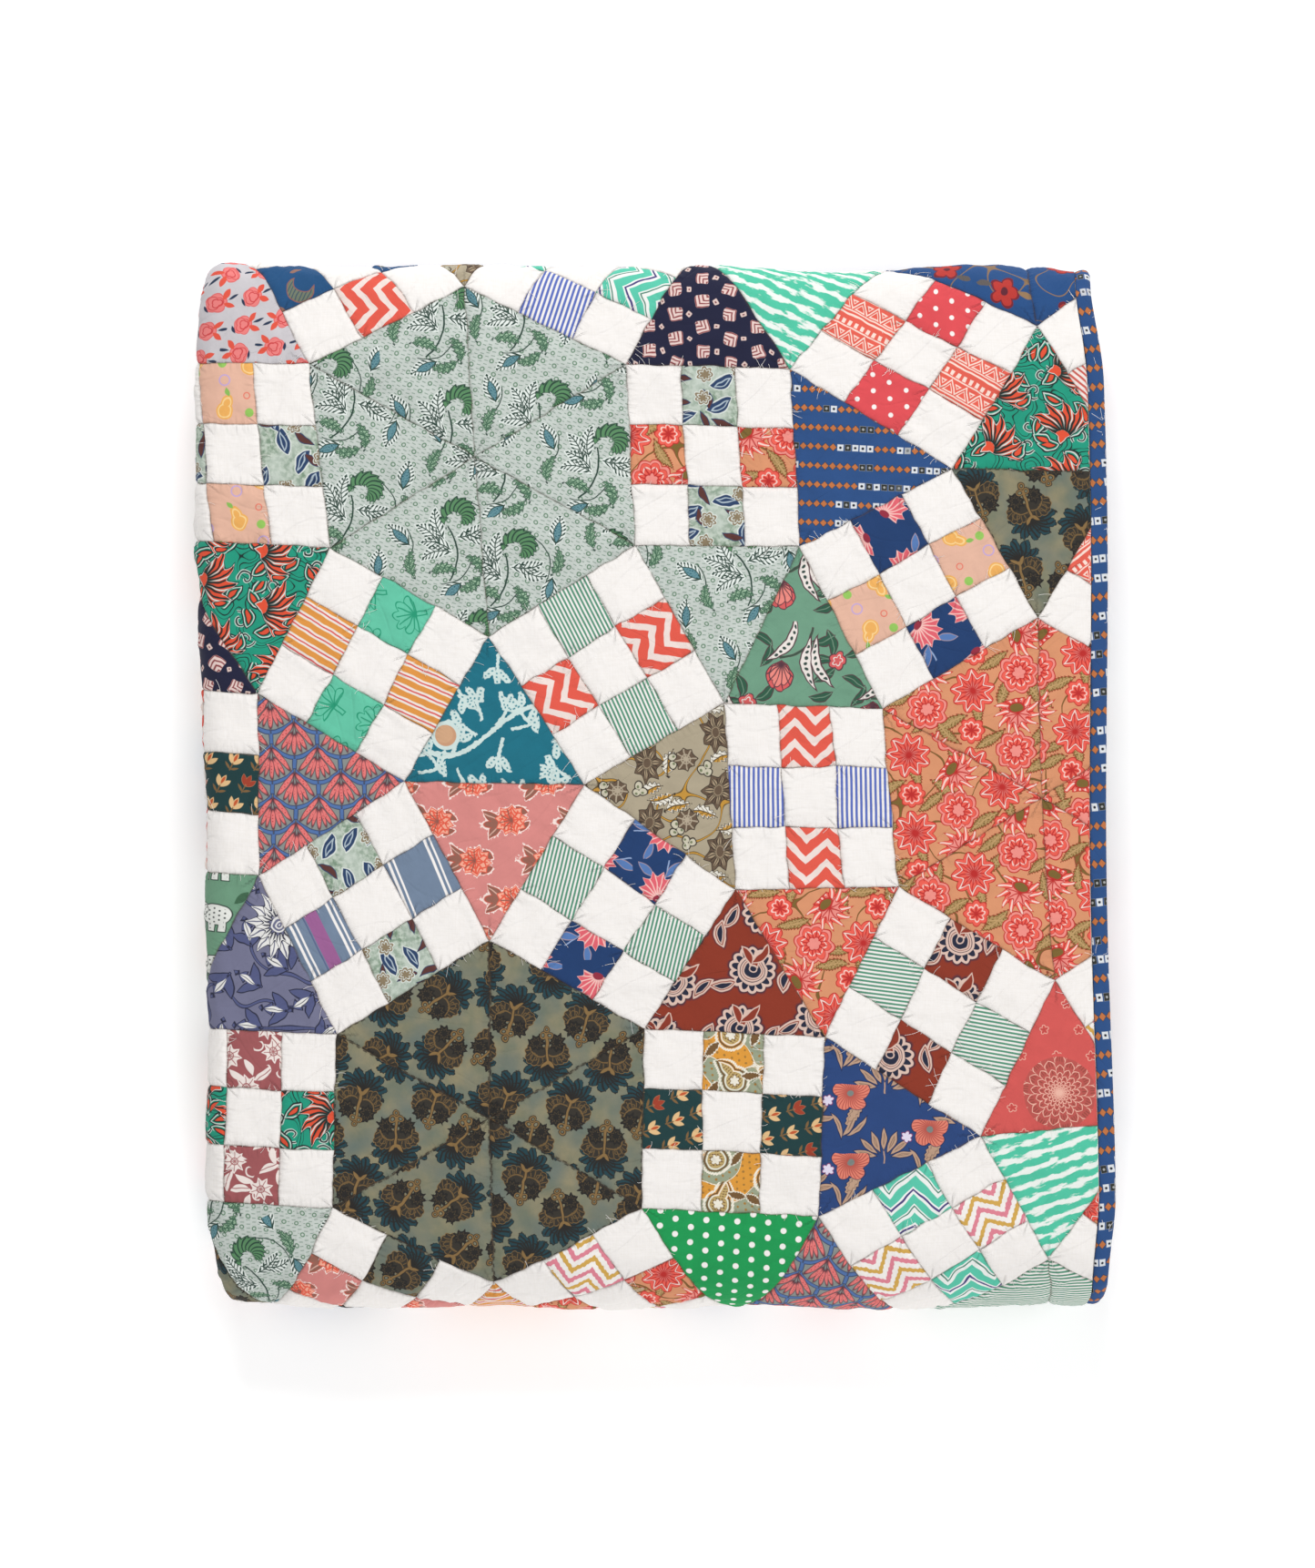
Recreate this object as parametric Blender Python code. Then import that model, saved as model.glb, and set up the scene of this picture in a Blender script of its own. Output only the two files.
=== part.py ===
# A patchwork quilt, folded in half twice across its width and then twice along its length.
# Sixteen layers lie on each other. The patchwork side faces out all round.
#
# The quilt is one sheet. Its width is folded back and forth into a section of four layers,
# and that section is swept along a second folded line, so both folds are in one solid.
# Metres, Z up. The pile stands on its lowest layer, with the bound edge on +X.

from math import cos, pi, sin

import bmesh
import bpy

# Size of the folded pile, seen from above
PILE_WIDTH = 0.598
PILE_LENGTH = 0.690

# The quilted sheet and the way its layers lie on each other
SHEET = 0.0052
LAYER_PITCH = 0.0060
RUN_PITCH = 0.0240

# The binding sewn over the quilt's edge, and the gap that keeps solids apart
BINDING_WIDTH = 0.0105
BINDING_ROUND = 0.0035
SEAM_GAP = 0.00035

# How far the hidden edges and the hidden fold stay back from the pile's outline
LOWER_EDGE_BACK = 0.004
INNER_FOLD_BACK = 0.004
MIDDLE_END_BACK = 0.006
BOTTOM_END_BACK = 0.011

# Stations lie on shared lines this far apart, so that neighbouring layers bend together
STATION = 0.100

# How unevenly the pile lies
SKEW = 0.0135
CORNER_TUCK = 0.007
FRONT_DROOP = 0.13
SIDE_DROOP = 0.05
BACK_DROOP = 0.04
HUMP = 0.012
SIDE_SWAY = 0.0018
END_SWAY = 0.0020

CLOTH_COLOUR = (0.83, 0.80, 0.76, 1.0)
BINDING_COLOUR = (0.055, 0.13, 0.31, 1.0)


def clear_scene():
    for old in list(bpy.data.objects):
        bpy.data.objects.remove(old)


def smooth_rise(value, start, end):
    """0 before start, 1 after end, and a smooth rise between them."""
    share = min(1.0, max(0.0, (value - start) / (end - start)))
    return share * share * (3 - 2 * share)


def lie_unevenly(x, y, z):
    """Where a point of the neatly stacked pile comes to lie in the real, uneven one."""
    side = abs(x) / (PILE_WIDTH / 2)
    front = smooth_rise(-y, 0.200, PILE_LENGTH / 2)
    back = smooth_rise(y, 0.270, PILE_LENGTH / 2)
    lift = 1 - FRONT_DROOP * front - BACK_DROOP * back - SIDE_DROOP * side**6
    lift += HUMP * sin(2 * pi * x / 0.46 + 0.6) * cos(2 * pi * y / 0.52 + 0.4)
    corner = smooth_rise(abs(y), 0.270, PILE_LENGTH / 2)
    sway = SIDE_SWAY * (sin(2 * pi * z / 0.070 + 1.0) + sin(2 * pi * y / 0.480 - 0.8))
    reach = x / (PILE_WIDTH / 2)
    return (
        x - SKEW * y + sway * reach - CORNER_TUCK * corner * reach**3,
        y + END_SWAY * sin(2 * pi * z / 0.200 + 5 * x) * y / (PILE_LENGTH / 2),
        z * lift,
    )


def stops_between(start, end):
    """The places along a flat run: its two ends, and each shared line between them."""
    low, high = sorted((start, end))
    lines = [STATION * k for k in range(-9, 10)]
    inner = [at for at in lines if low + STATION / 5 < at < high - STATION / 5]
    stops = [low, *inner, high]
    return stops if start < end else stops[::-1]


def fold_line(start, level, way, legs):
    """Stations along the middle of a folded sheet, each a point and the normal to its face side.

    A leg is ("run", x), flat to that x, or ("turn", radius, steps), a half turn. The face
    side is outside a turn of positive radius, and inside one of negative radius.
    """
    at, stations = start, []
    for leg in legs:
        if leg[0] == "run":
            for stop in stops_between(at, leg[1]):
                if not stations or abs(stations[-1][0][0] - stop) > 1e-6:
                    stations.append(((stop, level), (0.0, -way)))
            at = leg[1]
        else:
            radius, steps = leg[1], leg[2]
            middle = level + radius * way
            spin = 1 if radius > 0 else -1
            for step in range(1, steps + 1):
                angle = spin * pi * step / steps
                normal = (way * sin(angle), -way * cos(angle))
                point = (at + radius * normal[0], middle + radius * normal[1])
                stations.append((point, normal))
            level = middle + radius * way
            way = -way
    return stations


def width_fold(edge_cut):
    """The width of the quilt folded into four layers, from its upper edge to its lower edge."""
    edge = PILE_WIDTH / 2
    outer, inner = 1.5 * LAYER_PITCH, 0.5 * LAYER_PITCH
    left = -edge + outer + SHEET / 2
    right = edge - INNER_FOLD_BACK - inner - SHEET / 2
    legs = (
        ("run", left),
        ("turn", outer, 7),
        ("run", right),
        ("turn", inner, 5),
        ("run", left),
        ("turn", -inner, 4),
        ("run", edge - LOWER_EDGE_BACK - edge_cut),
    )
    return fold_line(edge - edge_cut, outer, -1, legs)


def length_fold(end_cut):
    """The length of the quilt folded into four runs, from the bottom end to the middle end.

    Its first coordinate is -y, so the pile's front is positive here.
    """
    end = PILE_LENGTH / 2
    half_run = 1.5 * LAYER_PITCH + SHEET / 2
    outer, inner = 1.5 * RUN_PITCH, 0.5 * RUN_PITCH
    front = end - outer - half_run
    back = -end + inner + half_run
    legs = (
        ("run", front),
        ("turn", outer, 10),
        ("run", back),
        ("turn", inner, 8),
        ("run", front),
        ("turn", -inner, 5),
        ("run", -end + MIDDLE_END_BACK + end_cut),
    )
    return fold_line(-end + BOTTOM_END_BACK + end_cut, half_run, 1, legs)


def sheet_section(line, thickness):
    """Both sides of a sheet along a folded line, as pairs of points."""
    half = thickness / 2
    return [
        [(p[0] + side * half * n[0], p[1] + side * half * n[1]) for side in (1, -1)]
        for p, n in line
    ]


def binding_section(edge, level):
    """Both sides of an edge binding, as pairs of points from its seam to its rounded edge."""
    inner = edge - BINDING_WIDTH + SEAM_GAP / 2
    steps = (
        (inner, 1.0),
        (edge - 1.6 * BINDING_ROUND, 1.0),
        (edge - 0.5 * BINDING_ROUND, 0.80),
        (edge, 0.42),
    )
    return [
        [(x, level + side * share * SHEET / 2) for side in (1, -1)] for x, share in steps
    ]


def placed(section_point, station):
    """A point of a section, carried to a station of the length fold."""
    (forward, height), (normal_forward, normal_up) = station
    x, offset = section_point
    y = -(forward + offset * normal_forward)
    return lie_unevenly(x, y, height + offset * normal_up)


def swept(name, sections, stations, material):
    """One closed solid: a strip section extruded from station to station.

    sections has one list of point pairs for each station, all of the same length.
    """
    mesh = bmesh.new()
    index = mesh.verts.layers.int.new("section_point")
    pairs = []
    for number, pair in enumerate(sections[0]):
        made = [mesh.verts.new(placed(point, stations[0])) for point in pair]
        for side, vertex in enumerate(made):
            vertex[index] = 2 * number + side
        pairs.append(made)
    cap = [
        mesh.faces.new((first[0], second[0], second[1], first[1]))
        for first, second in zip(pairs, pairs[1:])
    ]
    cap = list(mesh.verts) + list(mesh.edges) + cap
    for section, station in zip(sections[1:], stations[1:]):
        cap = bmesh.ops.extrude_face_region(mesh, geom=cap)["geom"]
        for vertex in (g for g in cap if isinstance(g, bmesh.types.BMVert)):
            number, side = divmod(vertex[index], 2)
            vertex.co = placed(section[number][side], station)
    bmesh.ops.recalc_face_normals(mesh, faces=mesh.faces)
    bmesh.ops.triangulate(mesh, faces=mesh.faces)
    data = bpy.data.meshes.new(name)
    mesh.to_mesh(data)
    mesh.free()
    data.shade_smooth()
    data.materials.append(material)
    made = bpy.data.objects.new(name, data)
    bpy.context.scene.collection.objects.link(made)
    return made


def cloth_material(name, colour):
    material = bpy.data.materials.new(name)
    material.use_nodes = True
    shader = material.node_tree.nodes["Principled BSDF"]
    shader.inputs["Base Color"].default_value = colour
    shader.inputs["Roughness"].default_value = 0.92
    shader.inputs["Metallic"].default_value = 0.0
    return material


def make_quilt(material):
    """The quilted sheet itself, between its bindings."""
    section = sheet_section(width_fold(BINDING_WIDTH + SEAM_GAP / 2), SHEET)
    stations = length_fold(BINDING_WIDTH + SEAM_GAP / 2)
    swept("quilt_cloth", [section] * len(stations), stations, material)


def make_side_bindings(material):
    """The bindings on the quilt's two long edges, along the whole folded length."""
    stations = length_fold(0.0)
    edge = PILE_WIDTH / 2
    rows = (
        ("side_binding_upper", edge, 1.5 * LAYER_PITCH),
        ("side_binding_lower", edge - LOWER_EDGE_BACK, 0.5 * LAYER_PITCH),
    )
    for name, reach, level in rows:
        section = binding_section(reach, level)
        swept(name, [section] * len(stations), stations, material)


def make_end_bindings(material):
    """The bindings on the quilt's two short ends, four layers wide, rounded at their edge."""
    line = width_fold(BINDING_WIDTH + SEAM_GAP / 2)
    shares = (1.0, 1.0, 0.80, 0.42)
    insets = (BINDING_WIDTH - SEAM_GAP / 2, 1.6 * BINDING_ROUND, 0.5 * BINDING_ROUND, 0.0)
    sections = [sheet_section(line, SHEET * share) for share in shares]
    for name, at in (("end_binding_bottom", 0), ("end_binding_middle", -1)):
        stations = [length_fold(inset)[at] for inset in insets]
        swept(name, sections, stations, material)


def stand_on_origin():
    """Moves the pile so that the middle of its base is the origin."""
    made = [o for o in bpy.context.scene.objects if o.type == "MESH"]
    corners = [v.co for o in made for v in o.data.vertices]
    for axis in (0, 1):
        low = min(c[axis] for c in corners)
        high = max(c[axis] for c in corners)
        for o in made:
            o.location[axis] -= (low + high) / 2


def main():
    clear_scene()
    cloth = cloth_material("quilt_cotton", CLOTH_COLOUR)
    binding = cloth_material("binding_cotton", BINDING_COLOUR)
    make_quilt(cloth)
    make_side_bindings(binding)
    make_end_bindings(binding)
    stand_on_origin()


main()
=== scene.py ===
# The looks of a folded patchwork quilt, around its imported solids.
#
# The quilt's top is pieced from hexagons in six parts, each with six nine-patch squares and six
# triangles round it. Each patch is its own puckered skin, bent round the folds of the solid.
# Lengths are in metres. Lengths of printed patterns are in millimetres on the cloth.

import random
from math import cos, pi, radians, sin, sqrt

import bmesh
import bpy
import numpy as np
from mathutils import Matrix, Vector

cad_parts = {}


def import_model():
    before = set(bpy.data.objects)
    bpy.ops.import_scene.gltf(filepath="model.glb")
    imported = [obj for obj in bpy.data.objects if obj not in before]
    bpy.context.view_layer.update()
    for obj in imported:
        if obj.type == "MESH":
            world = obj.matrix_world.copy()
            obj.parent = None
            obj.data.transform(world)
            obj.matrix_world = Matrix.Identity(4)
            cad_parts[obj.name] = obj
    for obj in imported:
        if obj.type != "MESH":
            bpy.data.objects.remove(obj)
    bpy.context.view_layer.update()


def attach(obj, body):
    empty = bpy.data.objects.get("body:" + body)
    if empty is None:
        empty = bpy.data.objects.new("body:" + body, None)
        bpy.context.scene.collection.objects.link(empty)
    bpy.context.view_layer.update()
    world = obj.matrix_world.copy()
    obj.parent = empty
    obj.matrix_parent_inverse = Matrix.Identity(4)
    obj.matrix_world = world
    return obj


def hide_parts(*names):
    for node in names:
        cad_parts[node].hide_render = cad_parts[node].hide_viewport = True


# The folded pile, as in the solids
PILE_WIDTH = 0.598
PILE_LENGTH = 0.690
SHEET = 0.0052
LAYER_PITCH = 0.0060
RUN_PITCH = 0.0240
BINDING_WIDTH = 0.0105
SEAM_GAP = 0.00035
LOWER_EDGE_BACK = 0.004
INNER_FOLD_BACK = 0.004
MIDDLE_END_BACK = 0.006
BOTTOM_END_BACK = 0.011
SKEW = 0.0135

# How unevenly the pile lies, and how far from its middle its droops and tucked corners start
CORNER_TUCK = 0.007
CORNER_START = 0.270
FRONT_DROOP = 0.13
FRONT_DROOP_START = 0.200
SIDE_DROOP = 0.05
BACK_DROOP = 0.04
BACK_DROOP_START = 0.270
HUMP = 0.012
HUMP_WAVE_X, HUMP_WAVE_Y = 0.46, 0.52
SIDE_SWAY = 0.0018
SIDE_SWAY_WAVE_Y, SIDE_SWAY_WAVE_Z = 0.480, 0.070
END_SWAY = 0.0020
END_SWAY_WAVE = 0.200

# Where the layers' edges and folds lie
EDGE = PILE_WIDTH / 2
END = PILE_LENGTH / 2
OUTER_BEND = 1.5 * LAYER_PITCH
INNER_BEND = 0.5 * LAYER_PITCH
HALF_RUN = OUTER_BEND + SHEET / 2
OUTER_TURN = 1.5 * RUN_PITCH
INNER_TURN = 0.5 * RUN_PITCH
FRONT = END - OUTER_TURN - HALF_RUN
BACK = -END + INNER_TURN + HALF_RUN

# The photo's frame and scale
PHOTO_SIZE = (1445, 1723)
PHOTO_MIDDLE = (722, 865)
METRES_PER_PIXEL = 0.0006016
TOP_HEIGHT = 0.095

# How a pixel's place on the cloth is searched for: in rounds, by steps of at most that length
SEARCH_ROUNDS = 12
SEARCH_STEP = 0.02

# The patchwork: one side length serves hexagons, squares and triangles
PATCH_SIDE = 0.1146
BLOCK_TURN = radians(1.7)
FIRST_BLOCK = (520, 507)
BLOCK_DOWN = (21, 711)
BLOCK_RIGHT = (626, 370)
BLOCKS_DOWN = range(-6, 7)
BLOCKS_RIGHT = range(-4, 4)

# How proud the patches stand over the solid's face, and how deep their seams lie under it
SEAM_DEPTH = 0.0010
BASE_DEPTH = 0.0016
BIG_PUFF = 0.0014
CELL_PUFF = 0.0011
PUCKER = 0.00095
CREASE = 0.00055
PLEAT = 0.0010
LUMP = 0.0013
SEAM_WOBBLE = 0.00042

# Over what width a puff rises from its seam, and how puckers, creases and pleats start and fade
BIG_PUFF_WIDTH = 0.007
CELL_PUFF_WIDTH = 0.004
PUCKERS_A_SEAM = 5
PUCKER_WAVES = (0.006, 0.020)
PUCKER_START = 0.0012
PUCKER_FADE = 0.0065
CREASE_FADE = 0.004
PLEAT_SHARPNESS = 0.16

# How far seam corners and the inner corners of nine-patches stray by chance
CORNER_JITTER = 0.0022
CELL_JITTER = 0.0012

# How sharp the seams' grooves are, how meshes crowd towards them and how dark the shade painted along
# them is
SEAM_GROOVE = 0.0009
SEAM_CROWDING = 1.5
CELL_CROWDING = 0.75
SEAM_SHADE = 0.55

# Threads that fray out of the plain cells' seams
THREAD_STEPS = 5
THREAD_RADIUS = 0.00013
THREAD_LIFT = 0.00025
THREAD_ROOT = 0.0004
THREAD_REACHES = (0.0012, 0.002, 0.003, 0.0045, 0.008)
THREADS_A_SEAM = (0, 2, 4, 7)

# What a mesh without seams stores as its distance to one, in millimetres
FAR_FROM_SEAM = 9.0

# How low any point may come to lie: just over the floor
LOWEST = 0.0002


class Fold:
    """A folded line: where the point at each distance along its face lies, and its normal.

    A leg is ("run", x), flat to that x, or ("turn", radius), a half turn. The face lies outside
    a turn of positive radius. Distances are measured on the face, which stands off the line.
    """

    TURN_STEPS = 48
    SHORTEST_TURN = 0.0003

    def __init__(self, start, level, way, legs, face):
        self.leg_ends = [0.0]
        distances, points, angles = [0.0], [(start, level)], [-way * pi / 2]
        at, angle = start, -way * pi / 2
        for kind, size in legs:
            if kind == "run":
                distances.append(distances[-1] + abs(size - at))
                points.append((size, level))
                angles.append(angle)
                at = size
            else:
                middle = level + size * way
                spin = 1 if size > 0 else -1
                along = pi * max(size * spin + face * spin, self.SHORTEST_TURN)
                begin, start_angle = distances[-1], angle
                for step in range(1, self.TURN_STEPS + 1):
                    share = step / self.TURN_STEPS
                    angle = start_angle + spin * pi * share
                    distances.append(begin + along * share)
                    points.append((at + size * cos(angle), middle + size * sin(angle)))
                    angles.append(angle)
                level = middle + size * way
                way = -way
            self.leg_ends.append(distances[-1])
        self.distances = np.array(distances)
        self.points = np.array(points)
        self.angles = np.array(angles)
        self.length = distances[-1]

    def at(self, distance):
        first = np.interp(distance, self.distances, self.points[:, 0])
        second = np.interp(distance, self.distances, self.points[:, 1])
        angle = np.interp(distance, self.distances, self.angles)
        return first, second, np.cos(angle), np.sin(angle)

    def turned(self, distance, leg):
        """How far round that leg's half turn a distance is, from 0 to pi."""
        start, end = self.leg_ends[leg], self.leg_ends[leg + 1]
        return pi * np.clip((distance - start) / (end - start), 0, 1)


def width_fold():
    left = -EDGE + OUTER_BEND + SHEET / 2
    right = EDGE - INNER_FOLD_BACK - INNER_BEND - SHEET / 2
    legs = (
        ("run", left),
        ("turn", OUTER_BEND),
        ("run", right),
        ("turn", INNER_BEND),
        ("run", left),
        ("turn", -INNER_BEND),
        ("run", EDGE - LOWER_EDGE_BACK),
    )
    return Fold(EDGE, OUTER_BEND, -1, legs, SHEET / 2)


def length_fold():
    legs = (
        ("run", FRONT),
        ("turn", OUTER_TURN),
        ("run", BACK),
        ("turn", INNER_TURN),
        ("run", FRONT),
        ("turn", -INNER_TURN),
        ("run", -END + MIDDLE_END_BACK),
    )
    return Fold(-END + BOTTOM_END_BACK, HALF_RUN, 1, legs, HALF_RUN)


ACROSS = width_fold()
ALONG = length_fold()
LEFT_BEND, LOW_LAYER, RIGHT_FOLD = 1, 2, 3
BOTTOM_RUN, FRONT_BEND, TOP_RUN, BACK_FOLD = 0, 1, 2, 3


def smooth_rise(value, start, end):
    share = np.clip((value - start) / (end - start), 0, 1)
    return share * share * (3 - 2 * share)


def lie_unevenly(x, y, z):
    """Where points of the neatly stacked pile come to lie in the real, uneven one."""
    side = np.abs(x) / EDGE
    front = smooth_rise(-y, FRONT_DROOP_START, END)
    back = smooth_rise(y, BACK_DROOP_START, END)
    lift = 1 - FRONT_DROOP * front - BACK_DROOP * back - SIDE_DROOP * side**6
    lift += HUMP * np.sin(2 * pi * x / HUMP_WAVE_X + 0.6) * np.cos(2 * pi * y / HUMP_WAVE_Y + 0.4)
    corner = smooth_rise(np.abs(y), CORNER_START, END)
    sway = np.sin(2 * pi * z / SIDE_SWAY_WAVE_Z + 1.0) + np.sin(2 * pi * y / SIDE_SWAY_WAVE_Y - 0.8)
    sway = SIDE_SWAY * sway
    reach = x / EDGE
    return np.stack(
        (
            x - SKEW * y + sway * reach - CORNER_TUCK * corner * reach**3,
            y + END_SWAY * np.sin(2 * pi * z / END_SWAY_WAVE + 5 * x) * y / END,
            z * lift,
        ),
        axis=-1,
    )


def stacked(across, along, height):
    """Where the face's point at these distances lies, height above it. Arrays of one shape."""
    x, n, nx, nn = ACROSS.at(across)
    q, z, nq, nz = ALONG.at(along)
    lifted = SHEET / 2 + height
    x = x + lifted * nx
    n = n + lifted * nn
    return lie_unevenly(x, -(q + n * nq), z + n * nz)


def middle_of_pile():
    """How far the uneven pile's middle is from the neat one's, in X and Y."""
    round_left_bend = np.linspace(0.5, 0.75, 60)
    round_right_fold = np.linspace(*ACROSS.leg_ends[RIGHT_FOLD : RIGHT_FOLD + 2], 9)
    across = np.concatenate(([0.0], round_left_bend, round_right_fold))
    along = np.linspace(0, ALONG.length, 900)
    points = stacked(across[:, None], along[None, :], 0.0).reshape(-1, 3)
    return (points.min(axis=0) + points.max(axis=0)) / 2 * (1, 1, 0)


PILE_MIDDLE = middle_of_pile()


def waves(seed, count, shortest, longest):
    """A smooth random surface from -1 to 1: a sum of plane waves with fixed seeds."""
    dice = random.Random(seed)
    rows = []
    for _ in range(count):
        turn = dice.uniform(0, 2 * pi)
        size = 2 * pi / dice.uniform(shortest, longest)
        rows.append((size * cos(turn), size * sin(turn), dice.uniform(0, 2 * pi)))

    def surface(x, y):
        total = 0.0
        for kx, ky, phase in rows:
            total = total + np.sin(kx * x + ky * y + phase)
        return total / sqrt(count)

    return surface


# The seed, the number of waves, and their shortest and longest length
LUMPS = waves(3, 9, 0.07, 0.20)
CREASES = waves(5, 14, 0.018, 0.050)
PLEATS = waves(6, 5, 0.060, 0.140)
WOBBLE_X = waves(7, 9, 0.010, 0.034)
WOBBLE_Y = waves(8, 9, 0.010, 0.034)


def freedom(across, along):
    """How freely the face can puff out there: 1 where nothing lies on it, 0 where it is pressed."""
    front = ALONG.turned(along, FRONT_BEND)
    back = ALONG.turned(along, BACK_FOLD)
    open_run = np.sin(np.minimum(front, pi / 2)) ** 2 * np.sin(np.maximum(back, pi / 2)) ** 2
    bend = ACROSS.turned(across, LEFT_BEND)
    upper = np.where(bend < pi / 2, open_run, 0)
    side = np.sin(bend) ** 2
    fold = np.sin(ACROSS.turned(across, RIGHT_FOLD)) ** 2
    return np.maximum(np.maximum(upper, side), fold)


def on_floor(points):
    """The points, none of them under the floor."""
    points[..., 2] = np.maximum(points[..., 2], LOWEST)
    return points


def skin(across, along, relief):
    """Points of the quilt's patched face. relief is the height over the seams' level, 0 to 1 or so."""
    free = freedom(across, along)
    lumps = LUMP * free * LUMPS(EDGE - across, along)
    return on_floor(stacked(across, along, lumps + relief) - PILE_MIDDLE)


# The patchwork is laid out flat, on the plane of the pile's top. Its x runs on round the left
# bend and its y round the front and back folds, as distances on the cloth's face.
TOP_START = ALONG.leg_ends[TOP_RUN] + FRONT


def cloth_place(x, y):
    """The distances along both folds of a point in the patchwork's plane."""
    return EDGE - x, TOP_START + y


def photo_metres(pixel):
    """The X and Y over which a pixel of the photo lies."""
    x = (pixel[0] - PHOTO_MIDDLE[0]) * METRES_PER_PIXEL
    y = (PHOTO_MIDDLE[1] - pixel[1]) * METRES_PER_PIXEL
    return np.array((x, y))


def from_photo(pixel):
    """The point of the patchwork's plane that a pixel of the photo shows."""
    goal = photo_metres(pixel)
    guess = goal.copy()
    for _ in range(SEARCH_ROUNDS):
        across, along = cloth_place(*guess)
        seen = stacked(np.array(across), np.array(along), 0.0) - PILE_MIDDLE
        guess = guess + np.clip(goal - seen[:2], -SEARCH_STEP, SEARCH_STEP)
    return guess


# Corners of the seams, measured in the photo's pixels
SEAM_CORNERS_PX = {
    "block A's hexagon": ((510, 315), (688, 400), (698, 599), (537, 699), (363, 602), (340, 400)),
    "block B's hexagon": ((538, 1033), (708, 1131), (705, 1328), (542, 1413), (365, 1328), (370, 1137)),
    "block C's hexagon": ((1140, 679), (969, 779), (987, 974), (1159, 1078)),
    "right of block A": ((868, 405), (879, 601)),
    "below block A": ((283, 762), (444, 859), (796, 773), (642, 862)),
    "above block B": ((811, 975), (284, 963)),
    "right of block B": ((906, 1139), (900, 1338)),
    "round block C": ((1046, 515), (808, 978), (1077, 1249)),
    "blocks D and F": ((974, 293), (1140, 357), (1153, 1387), (980, 1487)),
}


def jitter(dice, size):
    """A random step in the patchwork's plane."""
    return np.array((dice.uniform(-1, 1), dice.uniform(-1, 1))) * size


class Patchwork:
    """The seams' corners and the patches between them, in the patchwork's plane.

    Blocks are named by two steps, down and right. All distances of the ideal pattern are
    in patch sides. A corner is shared by each block that meets there.
    """

    BLOCK_STEP = 3.7320508
    RING = 1.9318517
    GAP_MIDDLE = 2.1547005
    GAP_TIP = 2.7320508

    # Directions of a hexagon's corners and of the ring of corners outside it, in degrees
    HEXAGON_ANGLES = range(30, 390, 60)
    RING_ANGLES = range(15, 375, 30)

    # How far a measured corner pulls its neighbours, and how much they hold back
    PULL_REACH = 0.07
    HOLD_BACK = 0.25

    def __init__(self, blocks):
        self.blocks = blocks
        self.guesses = {}
        for block in blocks:
            for angle in self.HEXAGON_ANGLES:
                self.guess(block, 1, angle)
            for angle in self.RING_ANGLES:
                self.guess(block, self.RING, angle)
        self.corners = {key: np.mean(spots, axis=0) for key, spots in self.guesses.items()}
        self.centres = {block: self.predict(block, 0, 0) for block in blocks}
        self.fit_to_photo()

    def key(self, block, reach, angle):
        down, right = block
        x = right * self.BLOCK_STEP * cos(radians(30)) + reach * cos(radians(angle))
        y = -down * self.BLOCK_STEP - right * self.BLOCK_STEP / 2 + reach * sin(radians(angle))
        return round(x * 10), round(y * 10)

    def predict(self, block, reach, angle):
        down, right = block
        pixel = [FIRST_BLOCK[i] + down * BLOCK_DOWN[i] + right * BLOCK_RIGHT[i] for i in (0, 1)]
        x, y = photo_metres(pixel)
        turn = radians(angle) + BLOCK_TURN
        return np.array((x + reach * PATCH_SIDE * cos(turn), y + reach * PATCH_SIDE * sin(turn)))

    def guess(self, block, reach, angle):
        key = self.key(block, reach, angle)
        self.guesses.setdefault(key, []).append(self.predict(block, reach, angle))

    def fit_to_photo(self):
        """Moves each measured corner to its place, and its neighbours part of the way."""
        keys = list(self.corners)
        spots = np.array([self.corners[key] for key in keys])
        moves, places, found = [], [], {}
        for row in SEAM_CORNERS_PX.values():
            for pixel in row:
                place = from_photo(pixel)
                nearest = int(np.argmin(np.linalg.norm(spots - place, axis=1)))
                moves.append(place - spots[nearest])
                places.append(spots[nearest])
                found[keys[nearest]] = place
        places, moves = np.array(places), np.array(moves)

        def nudged(spot):
            apart = np.linalg.norm(places - spot, axis=1)
            weights = np.exp(-(apart**2) / (2 * self.PULL_REACH**2))
            return spot + (weights @ moves) / (weights.sum() + self.HOLD_BACK)

        dice = random.Random(11)
        for key in keys:
            spot = nudged(self.corners[key]) + jitter(dice, CORNER_JITTER)
            self.corners[key] = found.get(key, spot)
        for block in self.blocks:
            ring = [self.corner(block, 1, angle) for angle in self.HEXAGON_ANGLES]
            self.centres[block] = np.mean(ring, axis=0)

    def corner(self, block, reach, angle):
        return self.corners[self.key(block, reach, angle)]

    def patches(self):
        """Each patch as (block, kind, number, corners), inside corners first."""
        gaps = set()
        for block in self.blocks:
            centre = self.centres[block]
            for angle in self.HEXAGON_ANGLES:
                this = self.corner(block, 1, angle)
                following = self.corner(block, 1, angle + 60)
                yield block, "hexagon", angle, (centre, this, following)
                outer = [self.corner(block, self.RING, angle + side) for side in (-15, 15)]
                yield block, "triangle", angle, (this, *outer)
                square = (
                    this,
                    following,
                    self.corner(block, self.RING, angle + 45),
                    self.corner(block, self.RING, angle + 15),
                )
                yield block, "square", angle + 30, square
                tip = self.key(block, self.GAP_TIP, angle + 30)
                middle = self.key(block, self.GAP_MIDDLE, angle + 30)
                if tip in self.corners and middle not in gaps:
                    gaps.add(middle)
                    yield block, "gap", angle + 30, (square[3], self.corners[tip], square[2])


# How finely a patch is meshed: steps along a nine-patch cell's side, and three times as many
# along a patch side. A coarser grid finds out first whether the patch shows.
FINE_STEPS = 16
BEND_STEPS = 12
COARSE_STEPS = 6
TEST_STEPS = 12
CELLS = 3

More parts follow.
